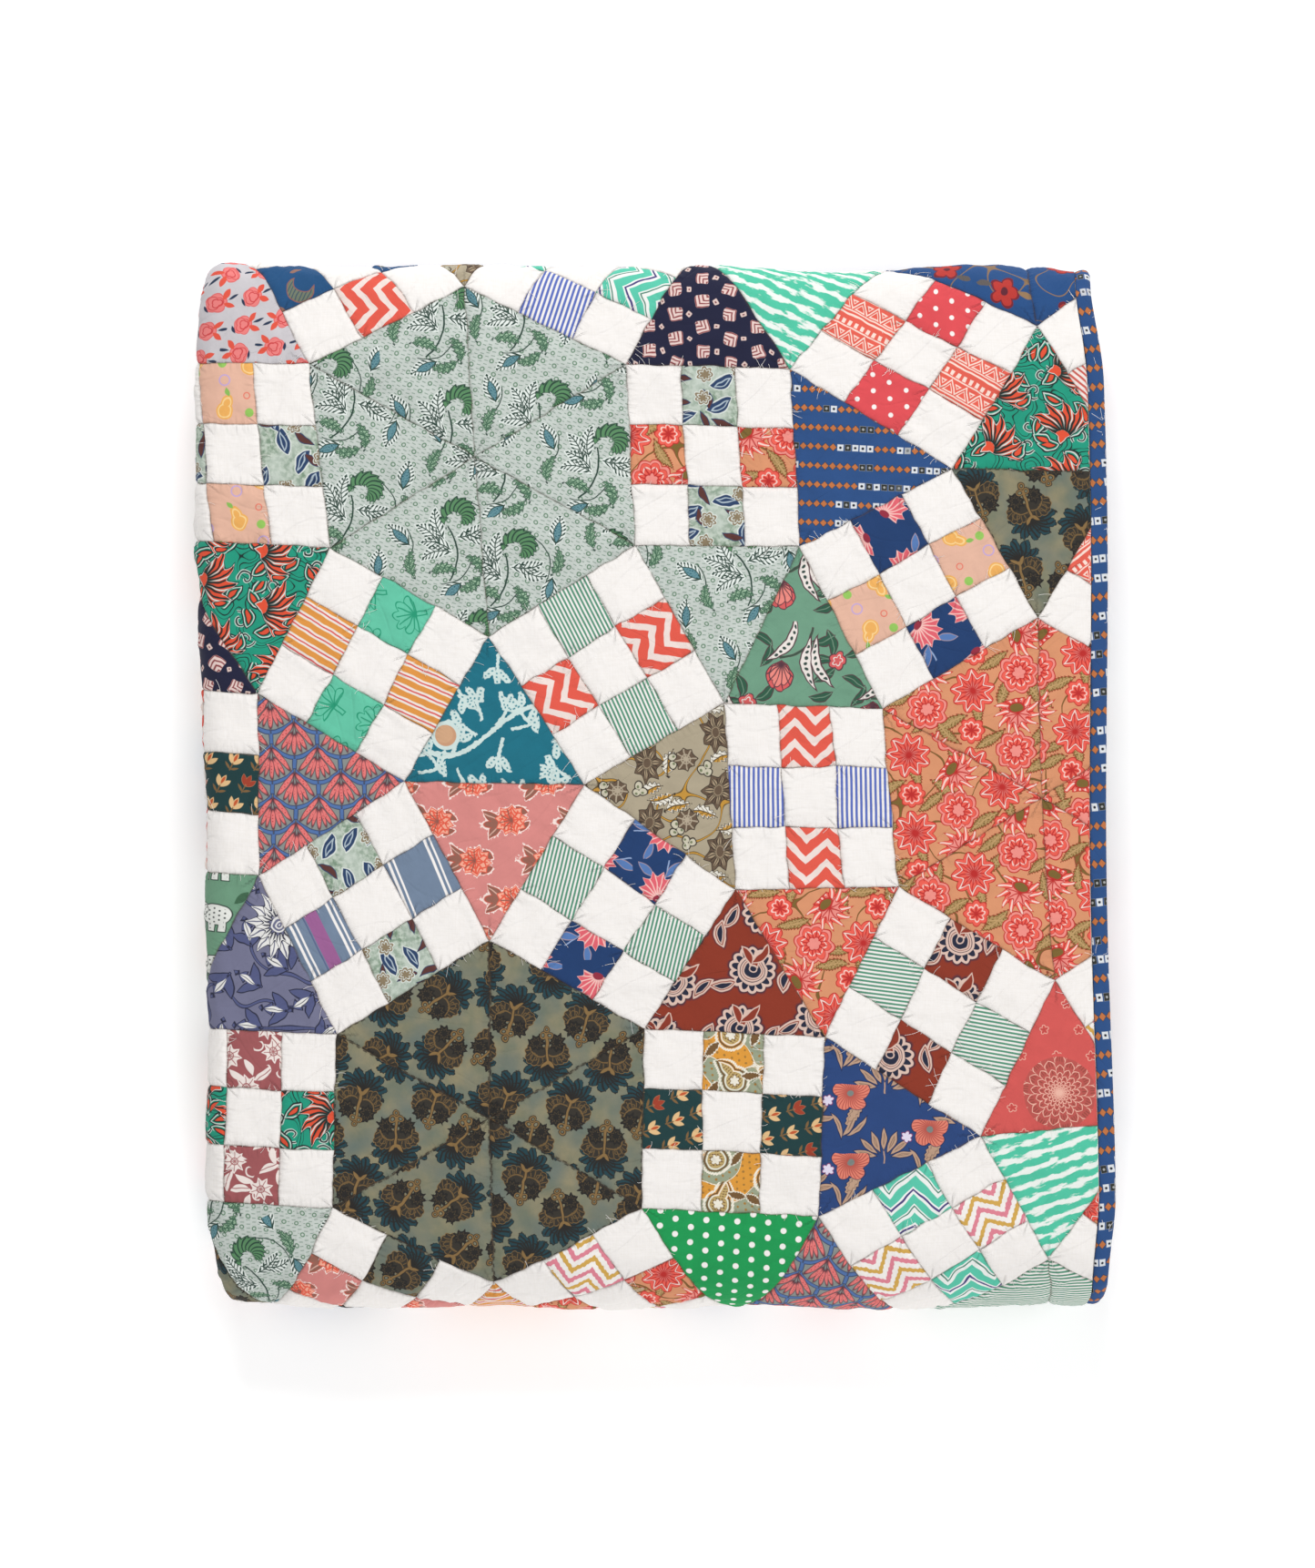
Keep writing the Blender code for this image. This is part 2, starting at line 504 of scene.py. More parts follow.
# Cloth at least this free to puff lies on a bend, not pressed under a layer
BARELY_FREE = 0.05

# Faces smaller than a sliver are left out, and a small step outward tells a face's outer side
SLIVER_AREA = 1e-9
OUTWARD_STEP = 0.001

# How far the patches reach in under the next layer, past the bends that show
HIDDEN_REACH = 0.022
BINDING_SEAM = BINDING_WIDTH + SEAM_GAP


def shown(across, along):
    """Whether the cloth's face can be seen there, or lies just inside an opening of the pile."""
    left_start, left_end = ACROSS.leg_ends[LEFT_BEND : LEFT_BEND + 2]
    right_start, right_end = ACROSS.leg_ends[RIGHT_FOLD : RIGHT_FOLD + 2]
    outer = (across < left_end) & (along < ALONG.leg_ends[BACK_FOLD + 1] + HIDDEN_REACH)
    left = (across > left_start - HIDDEN_REACH) & (across < left_end + HIDDEN_REACH)
    right = (across > right_start - HIDDEN_REACH) & (across < right_end + HIDDEN_REACH)
    inside = (across > 0) & (along > 0) & (along < ALONG.length)
    return inside & (outer | left | right)


def seam_pucker(dice, length, distance, along):
    """Small ridges that run in from a seam and fade, as a height for each point near it."""
    height = 0.0
    for _ in range(PUCKERS_A_SEAM):
        size = dice.uniform(*PUCKER_WAVES)
        height = height + dice.uniform(0.3, 1.0) * np.sin(
            2 * pi * along * length / size + dice.uniform(0, 2 * pi)
        )
    fade = np.exp(-distance / PUCKER_FADE) * (1 - np.exp(-distance / PUCKER_START))
    return height * fade * 0.5


def patch_relief(dice, sides, puff, width):
    """The height of a patch's points over its seams' level.

    sides has a row for each seam: its length, each point's distance to it and place along it.
    """
    distances = np.array([distance for _, distance, _ in sides])
    nearest = distances.min(axis=0)
    along_seams = np.array([along * length for length, _, along in sides])
    beside = np.take_along_axis(along_seams, distances.argmin(axis=0)[None], axis=0)[0]
    relief = SEAM_DEPTH * (1 - np.exp(-nearest / (SEAM_GROOVE * dice.uniform(0.7, 1.5))))
    relief = relief + puff * dice.uniform(0.7, 1.2) * (1 - np.exp(-nearest / width))
    for length, distance, along in sides:
        relief = relief + PUCKER * seam_pucker(dice, length, distance, along)
    return relief, nearest, beside


def triangle_grid(corners, steps):
    """A grid over a triangle: points, faces, and each seam's distance to and place along."""
    first, second, third = np.array(corners)
    shares = [
        (1 - (i + j) / steps, i / steps, j / steps)
        for i in range(steps + 1)
        for j in range(steps + 1 - i)
    ]
    row_start = [0]
    for i in range(steps + 1):
        row_start.append(row_start[-1] + steps + 1 - i)
    faces = []
    for i in range(steps):
        for j in range(steps - i):
            here, above = row_start[i] + j, row_start[i + 1] + j
            faces.append((here, above, here + 1))
            if j < steps - i - 1:
                faces.append((above, above + 1, here + 1))
    shares = np.maximum(np.array(shares), 0) ** SEAM_CROWDING
    shares = shares / shares.sum(axis=1, keepdims=True)
    points = shares @ np.array((first, second, third))
    area = abs(np.cross(second - first, third - first))
    sides = []
    for corner in range(3):
        a, b = [(first, second, third)[(corner + i) % 3] for i in (1, 2)]
        length = np.linalg.norm(b - a)
        distance = shares[:, corner] * area / length
        sides.append((length, distance, ((points - a) @ (b - a)) / length**2))
    return points, faces, sides


def point_between(corners, s, t):
    """The point of a four-sided cell at the shares s and t of its sides."""
    first, second, third, fourth = corners
    return (1 - s) * ((1 - t) * first + t * fourth) + s * ((1 - t) * second + t * third)


def square_grid(corners, steps):
    """The same for a four-sided cell, in quads."""
    first, second, _, fourth = np.array(corners)
    share = np.linspace(0, 1, steps + 1)
    share = share - CELL_CROWDING * np.sin(2 * pi * share) / (2 * pi)
    s, t = [grid.reshape(-1, 1) for grid in np.meshgrid(share, share, indexing="ij")]
    points = point_between(np.array(corners), s, t)
    faces = []
    for i in range(steps):
        for j in range(steps):
            here = i * (steps + 1) + j
            faces.append((here, here + steps + 1, here + steps + 2, here + 1))
    wide = np.linalg.norm(second - first)
    high = np.linalg.norm(fourth - first)
    s, t = s[:, 0], t[:, 0]
    sides = [(wide, t * high, s), (wide, (1 - t) * high, s)]
    sides += [(high, s * wide, t), (high, (1 - s) * wide, t)]
    return points, faces, sides


def mesh_of(name, points, faces, *materials):
    mesh = bpy.data.meshes.new(name)
    mesh.from_pydata(points, [], faces)
    for material in materials:
        mesh.materials.append(material)
    return mesh


def added(name, data):
    """A new object of the scene that shows that mesh, light or camera."""
    made = bpy.data.objects.new(name, data)
    bpy.context.scene.collection.objects.link(made)
    return made


class Piece:
    """A mesh that gathers patches, each with its own cloth."""

    def __init__(self, name):
        self.name = name
        self.points, self.faces, self.prints, self.seams = [], [], [], []
        self.cloths, self.materials = [], []
        self.count = 0

    def add(self, points, faces, prints, seams, material):
        if material not in self.materials:
            self.materials.append(material)
        cloth = self.materials.index(material)
        self.points.append(points)
        self.prints.append(prints)
        self.seams.append(seams)
        for face in faces:
            self.faces.append(tuple(int(i) + self.count for i in face))
            self.cloths.append(cloth)
        self.count += len(points)

    def made(self):
        points = np.concatenate(self.points).tolist()
        mesh = mesh_of(self.name, points, self.faces, *self.materials)
        mesh.polygons.foreach_set("material_index", self.cloths)
        mesh.shade_smooth()
        made = added(self.name, mesh)
        give_places(made, "print", np.concatenate(self.prints))
        give_places(made, "seam", np.concatenate(self.seams))
        return made


def print_places(points, middle, turn, shift):
    """Where a patch's points fall on its printed cloth, in millimetres."""
    x, y = ((points - middle) * 1000).T
    turn = radians(turn)
    return np.stack(
        (
            x * cos(turn) + y * sin(turn) + shift[0],
            y * cos(turn) - x * sin(turn) + shift[1],
        ),
        axis=-1,
    )


def steps_for(across, along):
    """How finely a patch there is meshed, or 0 where it is hidden."""
    seen = shown(across, along)
    if not seen.any():
        return 0
    run_start, run_end = ALONG.leg_ends[FRONT_BEND], ALONG.leg_ends[BACK_FOLD + 1]
    upper = seen & (along > run_start) & (along < run_end) & (across < ACROSS.leg_ends[LOW_LAYER])
    if upper.any():
        return FINE_STEPS
    on_bend = seen & (freedom(across, along) > BARELY_FREE)
    return BEND_STEPS if on_bend.any() else COARSE_STEPS


def lay_patch(piece, dice, corners, grid, scale, puff, width, cloth):
    """Adds one patch to a piece, if any of it shows. cloth is (material, turn, shift)."""
    corners = np.array(corners)
    across, along = cloth_place(*grid(corners, TEST_STEPS)[0].T)
    steps = steps_for(across, along) * scale
    seed = dice.random()
    if not steps:
        return
    points, faces, sides = grid(corners, steps)
    own = random.Random(seed)
    relief, nearest, beside = patch_relief(own, sides, puff, width)
    wobbled = points + SEAM_WOBBLE * np.stack(
        (WOBBLE_X(*points.T), WOBBLE_Y(*points.T)), axis=-1
    )
    across, along = cloth_place(*wobbled.T)
    faces = np.array(faces)
    seen = shown(across, along)[faces].any(axis=1)
    across = np.clip(across, BINDING_SEAM, ACROSS.length - BINDING_SEAM)
    along = np.clip(along, BINDING_SEAM, ALONG.length - BINDING_SEAM)
    flat = np.stack((across, along), axis=-1)
    a, b, c = [flat[faces[:, i]] for i in range(3)]
    seen &= np.abs(np.cross(b - a, c - a)) > SLIVER_AREA
    faces = faces[seen]
    if not len(faces):
        return
    free = freedom(across, along)
    over = np.maximum(relief - SEAM_DEPTH, 0)
    fade = 1 - np.exp(-nearest / CREASE_FADE)
    creases = CREASE * CREASES(*points.T) * fade
    pleats = PLEATS(*(points + np.array(corners[0]) * 3).T) / PLEAT_SHARPNESS
    pleats = PLEAT * np.exp(-(pleats**2)) * fade
    height = np.minimum(relief, SEAM_DEPTH) - SEAM_DEPTH + free * (over + creases + pleats)
    placed = skin(across, along, height)
    outward = skin(across, along, height + OUTWARD_STEP) - placed
    a, b, c = [placed[faces[:, i]] for i in range(3)]
    if (np.cross(b - a, c - a) * outward[faces[:, 0]]).sum() < 0:
        faces = faces[:, ::-1]
    material, turn, shift = cloth
    prints = print_places(wobbled, corners.mean(axis=0), turn, shift)
    seams = np.stack((nearest * 1000, beside * 1000), axis=-1)
    used, faces = np.unique(faces, return_inverse=True)
    faces = faces.reshape(int(seen.sum()), -1)
    piece.add(placed[used], faces, prints[used], seams[used], material)


def give_places(made, name, places):
    """Stores a pair of numbers for each point of a mesh, which its cloth's shader reads."""
    layer = made.data.uv_layers.new(name=name)
    corners = np.empty(len(made.data.loops), dtype=np.int32)
    made.data.loops.foreach_get("vertex_index", corners)
    layer.data.foreach_set("uv", places[corners].ravel())


def grid_faces(rows, columns, first=0, flip=False):
    """Quads over a grid of points stored row by row."""
    faces = []
    for i in range(rows - 1):
        for j in range(columns - 1):
            here = first + i * columns + j
            face = (here, here + 1, here + columns + 1, here + columns)
            faces.append(face[::-1] if flip else face)
    return faces


def stations(fold, start, end, flat_step, turn_step):
    """Distances along a fold from start to end, closer together on its half turns."""
    found = [start, end]
    for leg, (low, high) in enumerate(zip(fold.leg_ends, fold.leg_ends[1:])):
        step = turn_step if leg % 2 else flat_step
        count = max(2, int(np.ceil((high - low) / step)))
        found += [at for at in np.linspace(low, high, count + 1) if start < at < end]
    found = np.array(sorted(found))
    return found[np.concatenate(([True], np.diff(found) > 1e-5))]


def closed_sheet(name, top, under, material):
    """One closed mesh between two grids of points of one shape."""
    rows, columns = top.shape[:2]
    count = rows * columns
    points = np.concatenate((top.reshape(-1, 3), under.reshape(-1, 3)))
    faces = grid_faces(rows, columns, 0, True) + grid_faces(rows, columns, count, False)
    rim = [i * columns for i in range(rows)]
    rim += [(rows - 1) * columns + j for j in range(1, columns)]
    rim += [i * columns + columns - 1 for i in range(rows - 2, -1, -1)]
    rim += list(range(columns - 2, 0, -1))
    for here, following in zip(rim, rim[1:] + rim[:1]):
        faces.append((here, here + count, following + count, following))
    mesh = mesh_of(name, points.tolist(), faces, material)
    work = bmesh.new()
    work.from_mesh(mesh)
    bmesh.ops.recalc_face_normals(work, faces=work.faces)
    work.to_mesh(mesh)
    work.free()
    mesh.shade_smooth()
    return added(name, mesh)


def skin_under(across, along, depth):
    """Points of the quilt's back, depth under its face, without the face's lumps."""
    depth = np.broadcast_to(depth, across.shape)
    return on_floor(stacked(across, along, -depth) - PILE_MIDDLE)


# Steps of the plain sheets' meshes: on the flat, round the width's tight turns and the length's
BODY_STEP = 0.024
TIGHT_TURN_STEP = 0.0026
WIDE_TURN_STEP = 0.006


def make_quilted_body(material):
    """The wadding and backing under the patches, folded with them: one closed sheet."""
    across = stations(ACROSS, BINDING_SEAM, ACROSS.length - BINDING_SEAM, BODY_STEP, TIGHT_TURN_STEP)
    along = stations(ALONG, BINDING_SEAM, ALONG.length - BINDING_SEAM, BODY_STEP, WIDE_TURN_STEP)
    across, along = np.meshgrid(across, along, indexing="ij")
    patched = np.where(shown(across, along), BASE_DEPTH, SEAM_DEPTH / 4)
    top = skin(across, along, -patched)
    body = closed_sheet("quilted_body", top, skin_under(across, along, SHEET), material)
    prints = np.stack((across * 1000, along * 1000), axis=-1).reshape(-1, 2)
    give_places(body, "print", np.concatenate((prints, prints)))
    give_places(body, "seam", np.full((len(body.data.vertices), 2), FAR_FROM_SEAM))
    return body


# How the binding ripples along its stitches, and how finely it is meshed
BINDING_RIPPLE = 0.0007
RIPPLE_WAVES = (0.007, 0.022)
RIPPLE_ACROSS = 0.4
FREE_TO_SWELL = 0.02
BINDING_STEP = 0.0024
END_BINDING_STEP = 0.012

# How far the print on a binding's back is from that on its front, in millimetres
BACK_PRINT_SHIFT = 6.0

# The binding's roll: shares of its width from the seam to the edge, and of the quilt's thickness
BINDING_PROFILE = (
    (0.00, 0.80),
    (0.06, 0.95),
    (0.16, 1.08),
    (0.32, 1.20),
    (0.50, 1.24),
    (0.66, 1.18),
    (0.80, 1.02),
    (0.90, 0.80),
    (0.97, 0.48),
    (1.00, 0.12),
)


def binding_sides(seed, edge_at, inward):
    """How a binding's profile runs from its seam to its edge, as distances and thicknesses."""
    distances = np.array([edge_at + inward * BINDING_WIDTH * (1 - s) for s, _ in BINDING_PROFILE])
    swells = np.array([share for _, share in BINDING_PROFILE])
    return distances, swells, waves(seed, 7, *RIPPLE_WAVES)


def binding_strip(name, top, under, run, depth, material):
    """A binding's closed mesh between two grids, with its print along its run."""
    made = closed_sheet(name, top, under, material)
    prints = np.stack((run * 1000, depth * 1000), axis=-1).reshape(-1, 2)
    give_places(made, "print", np.concatenate((prints, prints + (BACK_PRINT_SHIFT, 0.0))))
    return made


def make_side_binding(name, seed, edge_at, inward, material):
    """The binding of one long edge, from end to end along the whole folded length."""
    distances, swells, ripple = binding_sides(seed, edge_at, inward)
    along = stations(ALONG, 0.0, ALONG.length, BINDING_STEP * 2, BINDING_STEP)
    across, along = np.meshgrid(distances, along, indexing="ij")
    swell = np.repeat(swells[:, None], along.shape[1], axis=1)
    free = freedom(across, along)
    ripples = BINDING_RIPPLE * ripple(across * RIPPLE_ACROSS, along) * free
    half = SHEET / 2 * np.where(free > FREE_TO_SWELL, swell, np.minimum(swell, 1.0))
    top = skin_under(across, along, SHEET / 2 - half - ripples)
    under = skin_under(across, along, SHEET / 2 + np.minimum(half, SHEET / 2))
    return binding_strip(name, top, under, along, (across - edge_at) * inward, material)


def make_end_binding(name, seed, edge_at, inward, material):
    """The binding of one short end, folded with the quilt's width into four layers."""
    distances, swells, _ = binding_sides(seed, edge_at, inward)
    seam_to_seam = BINDING_SEAM, ACROSS.length - BINDING_SEAM
    across = stations(ACROSS, *seam_to_seam, END_BINDING_STEP, TIGHT_TURN_STEP)
    along, across = np.meshgrid(distances, across, indexing="ij")
    half = SHEET / 2 * np.minimum(np.repeat(swells[:, None], along.shape[1], axis=1), 1.0)
    top = skin_under(across, along, SHEET / 2 - half)
    under = skin_under(across, along, SHEET / 2 + half)
    return binding_strip(name, top, under, across, (along - edge_at) * inward, material)


def loose_thread(dice, start, outward, reach):
    """Points of a thread that frays out of a seam, as places on the patchwork and heights."""
    aside = np.array((-outward[1], outward[0]))
    heading = outward + aside * dice.uniform(-0.9, 0.9)
    heading = heading / np.linalg.norm(heading)
    bend = aside * dice.uniform(-0.5, 0.5)
    share = np.linspace(0, 1, THREAD_STEPS)[:, None]
    places = start + (heading * share + bend * share**2) * reach
    out = np.abs((places - start) @ outward)
    level = -SEAM_DEPTH * np.exp(-out / SEAM_GROOVE)
    level = level + CELL_PUFF * (1 - np.exp(-out / CELL_PUFF_WIDTH))
    return places, level + THREAD_LIFT * (1 + 2 * np.sin(pi * share[:, 0]) * dice.random())


def add_tube(points, faces, middle_line):
    """Adds a thin three-sided tube round a line of points."""
    sides = np.cross(np.gradient(middle_line, axis=0), (0, 0, 1))
    sides = sides / (np.linalg.norm(sides, axis=1, keepdims=True) + 1e-9)
    up = np.array((0, 0, 1.0))
    first = len(points)
    for at, side in zip(middle_line, sides):
        for turn in (0, 2 * pi / 3, 4 * pi / 3):
            points.append(at + THREAD_RADIUS * (side * cos(turn) + up * sin(turn)))
    for step in range(THREAD_STEPS - 1):
        for j in range(3):
            here, after = first + step * 3 + j, first + step * 3 + (j + 1) % 3
            faces.append((here, after, after + 3, here + 3))
    last = first + (THREAD_STEPS - 1) * 3
    faces += [(first + 2, first + 1, first), (last, last + 1, last + 2)]


def make_threads(cells, material):
    """White threads along the seams of the plain cells that lie on top."""
    dice = random.Random(77)
    points, faces = [], []
    for corners in cells:
        corners = np.array(corners)
        if steps_for(*cloth_place(*corners.T)) < FINE_STEPS:
            continue
        middle = corners.mean(axis=0)
        for i in range(4):
            a, b = corners[i], corners[(i + 1) % 4]
            outward = (a + b) / 2 - middle
            outward = outward / np.linalg.norm(outward)
            for _ in range(dice.choice(THREADS_A_SEAM)):
                start = a + (b - a) * dice.uniform(0.03, 0.97) - outward * THREAD_ROOT
                places, heights = loose_thread(dice, start, outward, dice.choice(THREAD_REACHES))
                add_tube(points, faces, skin(*cloth_place(*places.T), heights))
    mesh = mesh_of("loose_threads", [tuple(point) for point in points], faces, material)
    made = added("loose_threads", mesh)
    give_places(made, "print", np.zeros((len(points), 2)))
    give_places(made, "seam", np.full((len(points), 2), FAR_FROM_SEAM))
    return made


# Printed cottons. A print is worked out by shader nodes from the place on the cloth. A field is
# a number that is above zero inside a shape, in millimetres from its edge.


class Number:
    """A value that a shader works out at each point of the cloth."""

    def __init__(self, tree, socket):
        self.tree = tree
        self.socket = socket

    def __add__(self, other):
        return worked("ADD", self, other)

    def __sub__(self, other):
        return worked("SUBTRACT", self, other)

    def __rsub__(self, other):
        return worked("SUBTRACT", other, self)

    def __mul__(self, other):
        return worked("MULTIPLY", self, other)

    def __abs__(self):
        return worked("ABSOLUTE", self)

    __radd__ = __add__
    __rmul__ = __mul__


def worked(operation, *values, clamp=False):
    """A Math node's result. Each value is a Number or a plain number."""
    tree = next(value.tree for value in values if isinstance(value, Number))
    node = tree.nodes.new("ShaderNodeMath")
    node.operation = operation
    node.use_clamp = clamp
    for socket, value in zip(node.inputs, values):
        if isinstance(value, Number):
            tree.links.new(value.socket, socket)
        else:
            socket.default_value = value
    return Number(tree, node.outputs[0])


def ramp(value, slope, start):
    """A share from 0 to 1 that has the start where the value is zero and rises by the slope."""
    return worked("MULTIPLY_ADD", value, slope, start, clamp=True)


def rounded(value):
    return worked("ROUND", value)


def sine(value):
    return worked("SINE", value)


def least(*fields):
    """Where all of the fields' shapes overlap."""
    found = fields[0]
    for field in fields[1:]:
        found = worked("MINIMUM", found, field)
    return found


def most(*fields):
    """Where any of the fields' shapes lies."""
    found = fields[0]
    for field in fields[1:]:
        found = worked("MAXIMUM", found, field)
    return found


def folded(value, period):
    """The distance from the nearest multiple of the period."""
    return worked("PINGPONG", value, period / 2)


class Place:
    """A point on the cloth, as a shader sees it."""

    def __init__(self, x, y):
        self.x = x
        self.y = y

    def moved(self, x, y):
        return Place(self.x - x, self.y - y)

    def turned(self, angle):
        """Axes turned by an angle in degrees, or by a Number of radians."""
        if isinstance(angle, Number):
            c, s = worked("COSINE", angle), sine(angle)
        else:
            c, s = cos(radians(angle)), sin(radians(angle))
        return Place(self.x * c + self.y * s, self.y * c - self.x * s)

    def at(self, x, y, angle=0):
        """Axes that start at x, y and are turned by the angle."""
        moved = self.moved(x, y)
        return moved.turned(angle) if angle else moved

    def squeezed(self, x, y):
        return Place(self.x * (1 / x), self.y * (1 / y))

    def mirrored(self):
        return Place(abs(self.x), self.y)

    def reach(self):
        return worked("SQRT", self.x * self.x + self.y * self.y)

    def angle(self):
        return worked("ARCTAN2", self.y, self.x)

    def repeated(self, wide, high, drop=0.5):
        """The place in a repeat of that size, and the repeat's column and row.

        Every second column is lower than its neighbours, by the drop's share of a repeat.
        """
        column = rounded(self.x * (1 / wide))
        y = self.y + worked("PINGPONG", column, 1.0) * (drop * high)
        row = rounded(y * (1 / high))
        return Place(self.x - column * wide, y - row * high), column, row

    def tiled(self, wide, high, drop=0.5):
        """The place in a repeat of that size, the same in each."""
        return self.repeated(wide, high, drop)[0]


def disc(place, radius):
    return radius - place.reach()


def oval(place, long, wide):
    return (1 - place.squeezed(long, wide).reach()) * min(long, wide)


def leaf(place, length, width):
    return (width / 2 - abs(place.y)) - place.x * place.x * (2 * width / length**2)


def box(place, wide, high):
    return least(wide / 2 - abs(place.x), high / 2 - abs(place.y))


def petals(place, radius, count, depth, turn=0.0, pointed=False):
    """A flower's outline: round petals, or pointed ones."""
    swing = place.angle() * (count / 2) + radians(turn)
    wave = 1 - abs(sine(swing)) if pointed else abs(worked("COSINE", swing))
    return wave * (radius * depth) + radius * (1 - depth) - place.reach()


def spokes(place, count, width, radius):
    """Lines that run out from a middle."""
    reach = place.reach()
    aside = abs(sine(place.angle() * (count / 2))) * reach * (2 / count)
    return least(width / 2 - aside, radius - reach)


def line(value, width):
    """A line along where the value is zero. On a field, that is its outline."""
    return width / 2 - abs(value)


def stripes(value, period, width):
    return width / 2 - folded(value, period)


def zigzag(place, wave, rise):
    """A coordinate whose equal values run in zigzags across the cloth."""
    return place.y + folded(place.x, wave) * (2 * rise / wave)


def bent(place, curve):
    """Axes whose x runs along a curve that bends towards y."""
    return Place(place.x, place.y - place.x * place.x * curve)


def bent_places(home, *sites):
    """Bent axes at several sites, each with its x, y, angle and curve."""
    return [bent(home.at(x, y, angle), curve) for x, y, angle, curve in sites]


def tendril(home, x, y, angle, curve, length, width):
    """A thin bent stem through x, y that ends that length away from there."""
    stem = line(bent(home.at(x, y, angle), curve).y, width)
    return least(stem, length - home.at(x, y).reach())


def swirled(place, amount):
    """Axes turned more and more with the distance from the middle, in radians a millimetre."""
    return place.turned(place.reach() * amount)


def curled(place, radius, growth=0.0):
    """Axes whose x runs round a ring, or round a spiral that grows that much each radian."""
    angle = place.angle()
    return Place(angle * radius, place.reach() - radius - angle * growth)


def toothed(place, length, width, tooth, depth):
    """A leaf with teeth that point along it."""
    return leaf(place, length, width) - folded(place.x + abs(place.y) * 0.7, tooth) * depth


def coral_twig(place):
    """Three buds in a fan on a stalk, and the dots on them."""
    buds, dots = [], []
    for turn in (-44, 0, 40):
        bud = place.turned(turn).moved(7.0, 0)
        buds.append(oval(bud, 5.6, 2.6))
        dots.append(least(stripes(bud.x, 2.8, 1.1), line(bud.y, 1.1), 3.6 - abs(bud.x)))
    stalk = least(line(place.y, 2.2), 8 - abs(place.x + 4))
    return most(stalk, *buds), most(*dots)


def bristled(place, length, width):
    """A twig with side twigs that slant towards its tip and end in small knobs."""
    outline = leaf(place, length, width)
    slant = place.x - abs(place.y) * 0.9
    knobs = least(stripes(slant, 2.9, 1.5), line(outline - 0.8, 1.5))
    return most(least(most(line(place.y, 0.8), stripes(slant, 2.9, 0.8)), outline), knobs)


def inked(field, colour, ink, width=0.6):
    """Layers for a shape with an outline."""
    return (field + width, ink), (field, colour)


def joined(*groups):
    """Takes the same motif at several places and returns its fields, each for all the places."""
    return [most(*fields) for fields in zip(*groups)]


def crest(spot):
    """The fields of a block-printed crest: lotus, blossoms, their marks, tufts and finial."""
    both = spot.mirrored()
    low = spot.at(0, -4.5).squeezed(1.16, 1.0)
    lotus = least(petals(low, 13.8, 11, 0.26), 3.5 - low.y)
    lines = most(spokes(swirled(low, 0.05), 22, 1.0, 13), line(petals(low, 8.5, 9, 0.3), 0.8))
    bud = both.at(7.6, 2.6, 20)
    eye = bud.at(-1.5, 5.5)
    blossom = petals(bud, 7.0, 11, 0.12)
    marks = most(
        least(line(eye.reach() - 6.6, 0.9), blossom),
        line(petals(bud.at(0.6, -2.4), 2.6, 5, 0.3), 0.5),
        least(spokes(eye, 22, 0.5, 12), eye.reach() - 7.6, blossom),
    )
    tuft = petals(both.at(6.6, 10.0, 25), 6.0, 9, 0.3, 0, True)
    finial = most(
        least(line(spot.x, 1.5), box(spot.at(0, 6), 5, 20)),
        line(both.at(2.2, 14.6).reach() - 1.8, 0.8),
        line(spot.at(0, 18.4).reach() - 1.5, 0.8),
        leaf(both.at(2.2, -4.2, -50), 7, 2.2),
    )
    return lotus, least(lines, lotus), blossom, marks, tuft, finial


LIGHT_SHARE = 0.93
MUSLIN = (248, 244, 241)
MUSLIN_SHADE = (242, 237, 232)

# How soft a printed edge is, how much deeper a ground is in its clouds, and the clouds' size
PRINT_EDGE = 0.45
CLOUD_DEPTH = 0.965
CLOUD_SIZE = 14

# A chance turn of about a whole round, in radians
ANY_TURN = 6.3


def linear(colour):
    """An sRGB colour of 0 to 255 as a linear one, for light that shows white cloth as white."""
    values = [c / 255 for c in colour]
    values = [c / 12.92 if c <= 0.04045 else ((c + 0.055) / 1.055) ** 2.4 for c in values]
    return (*[c * LIGHT_SHARE for c in values], 1.0)


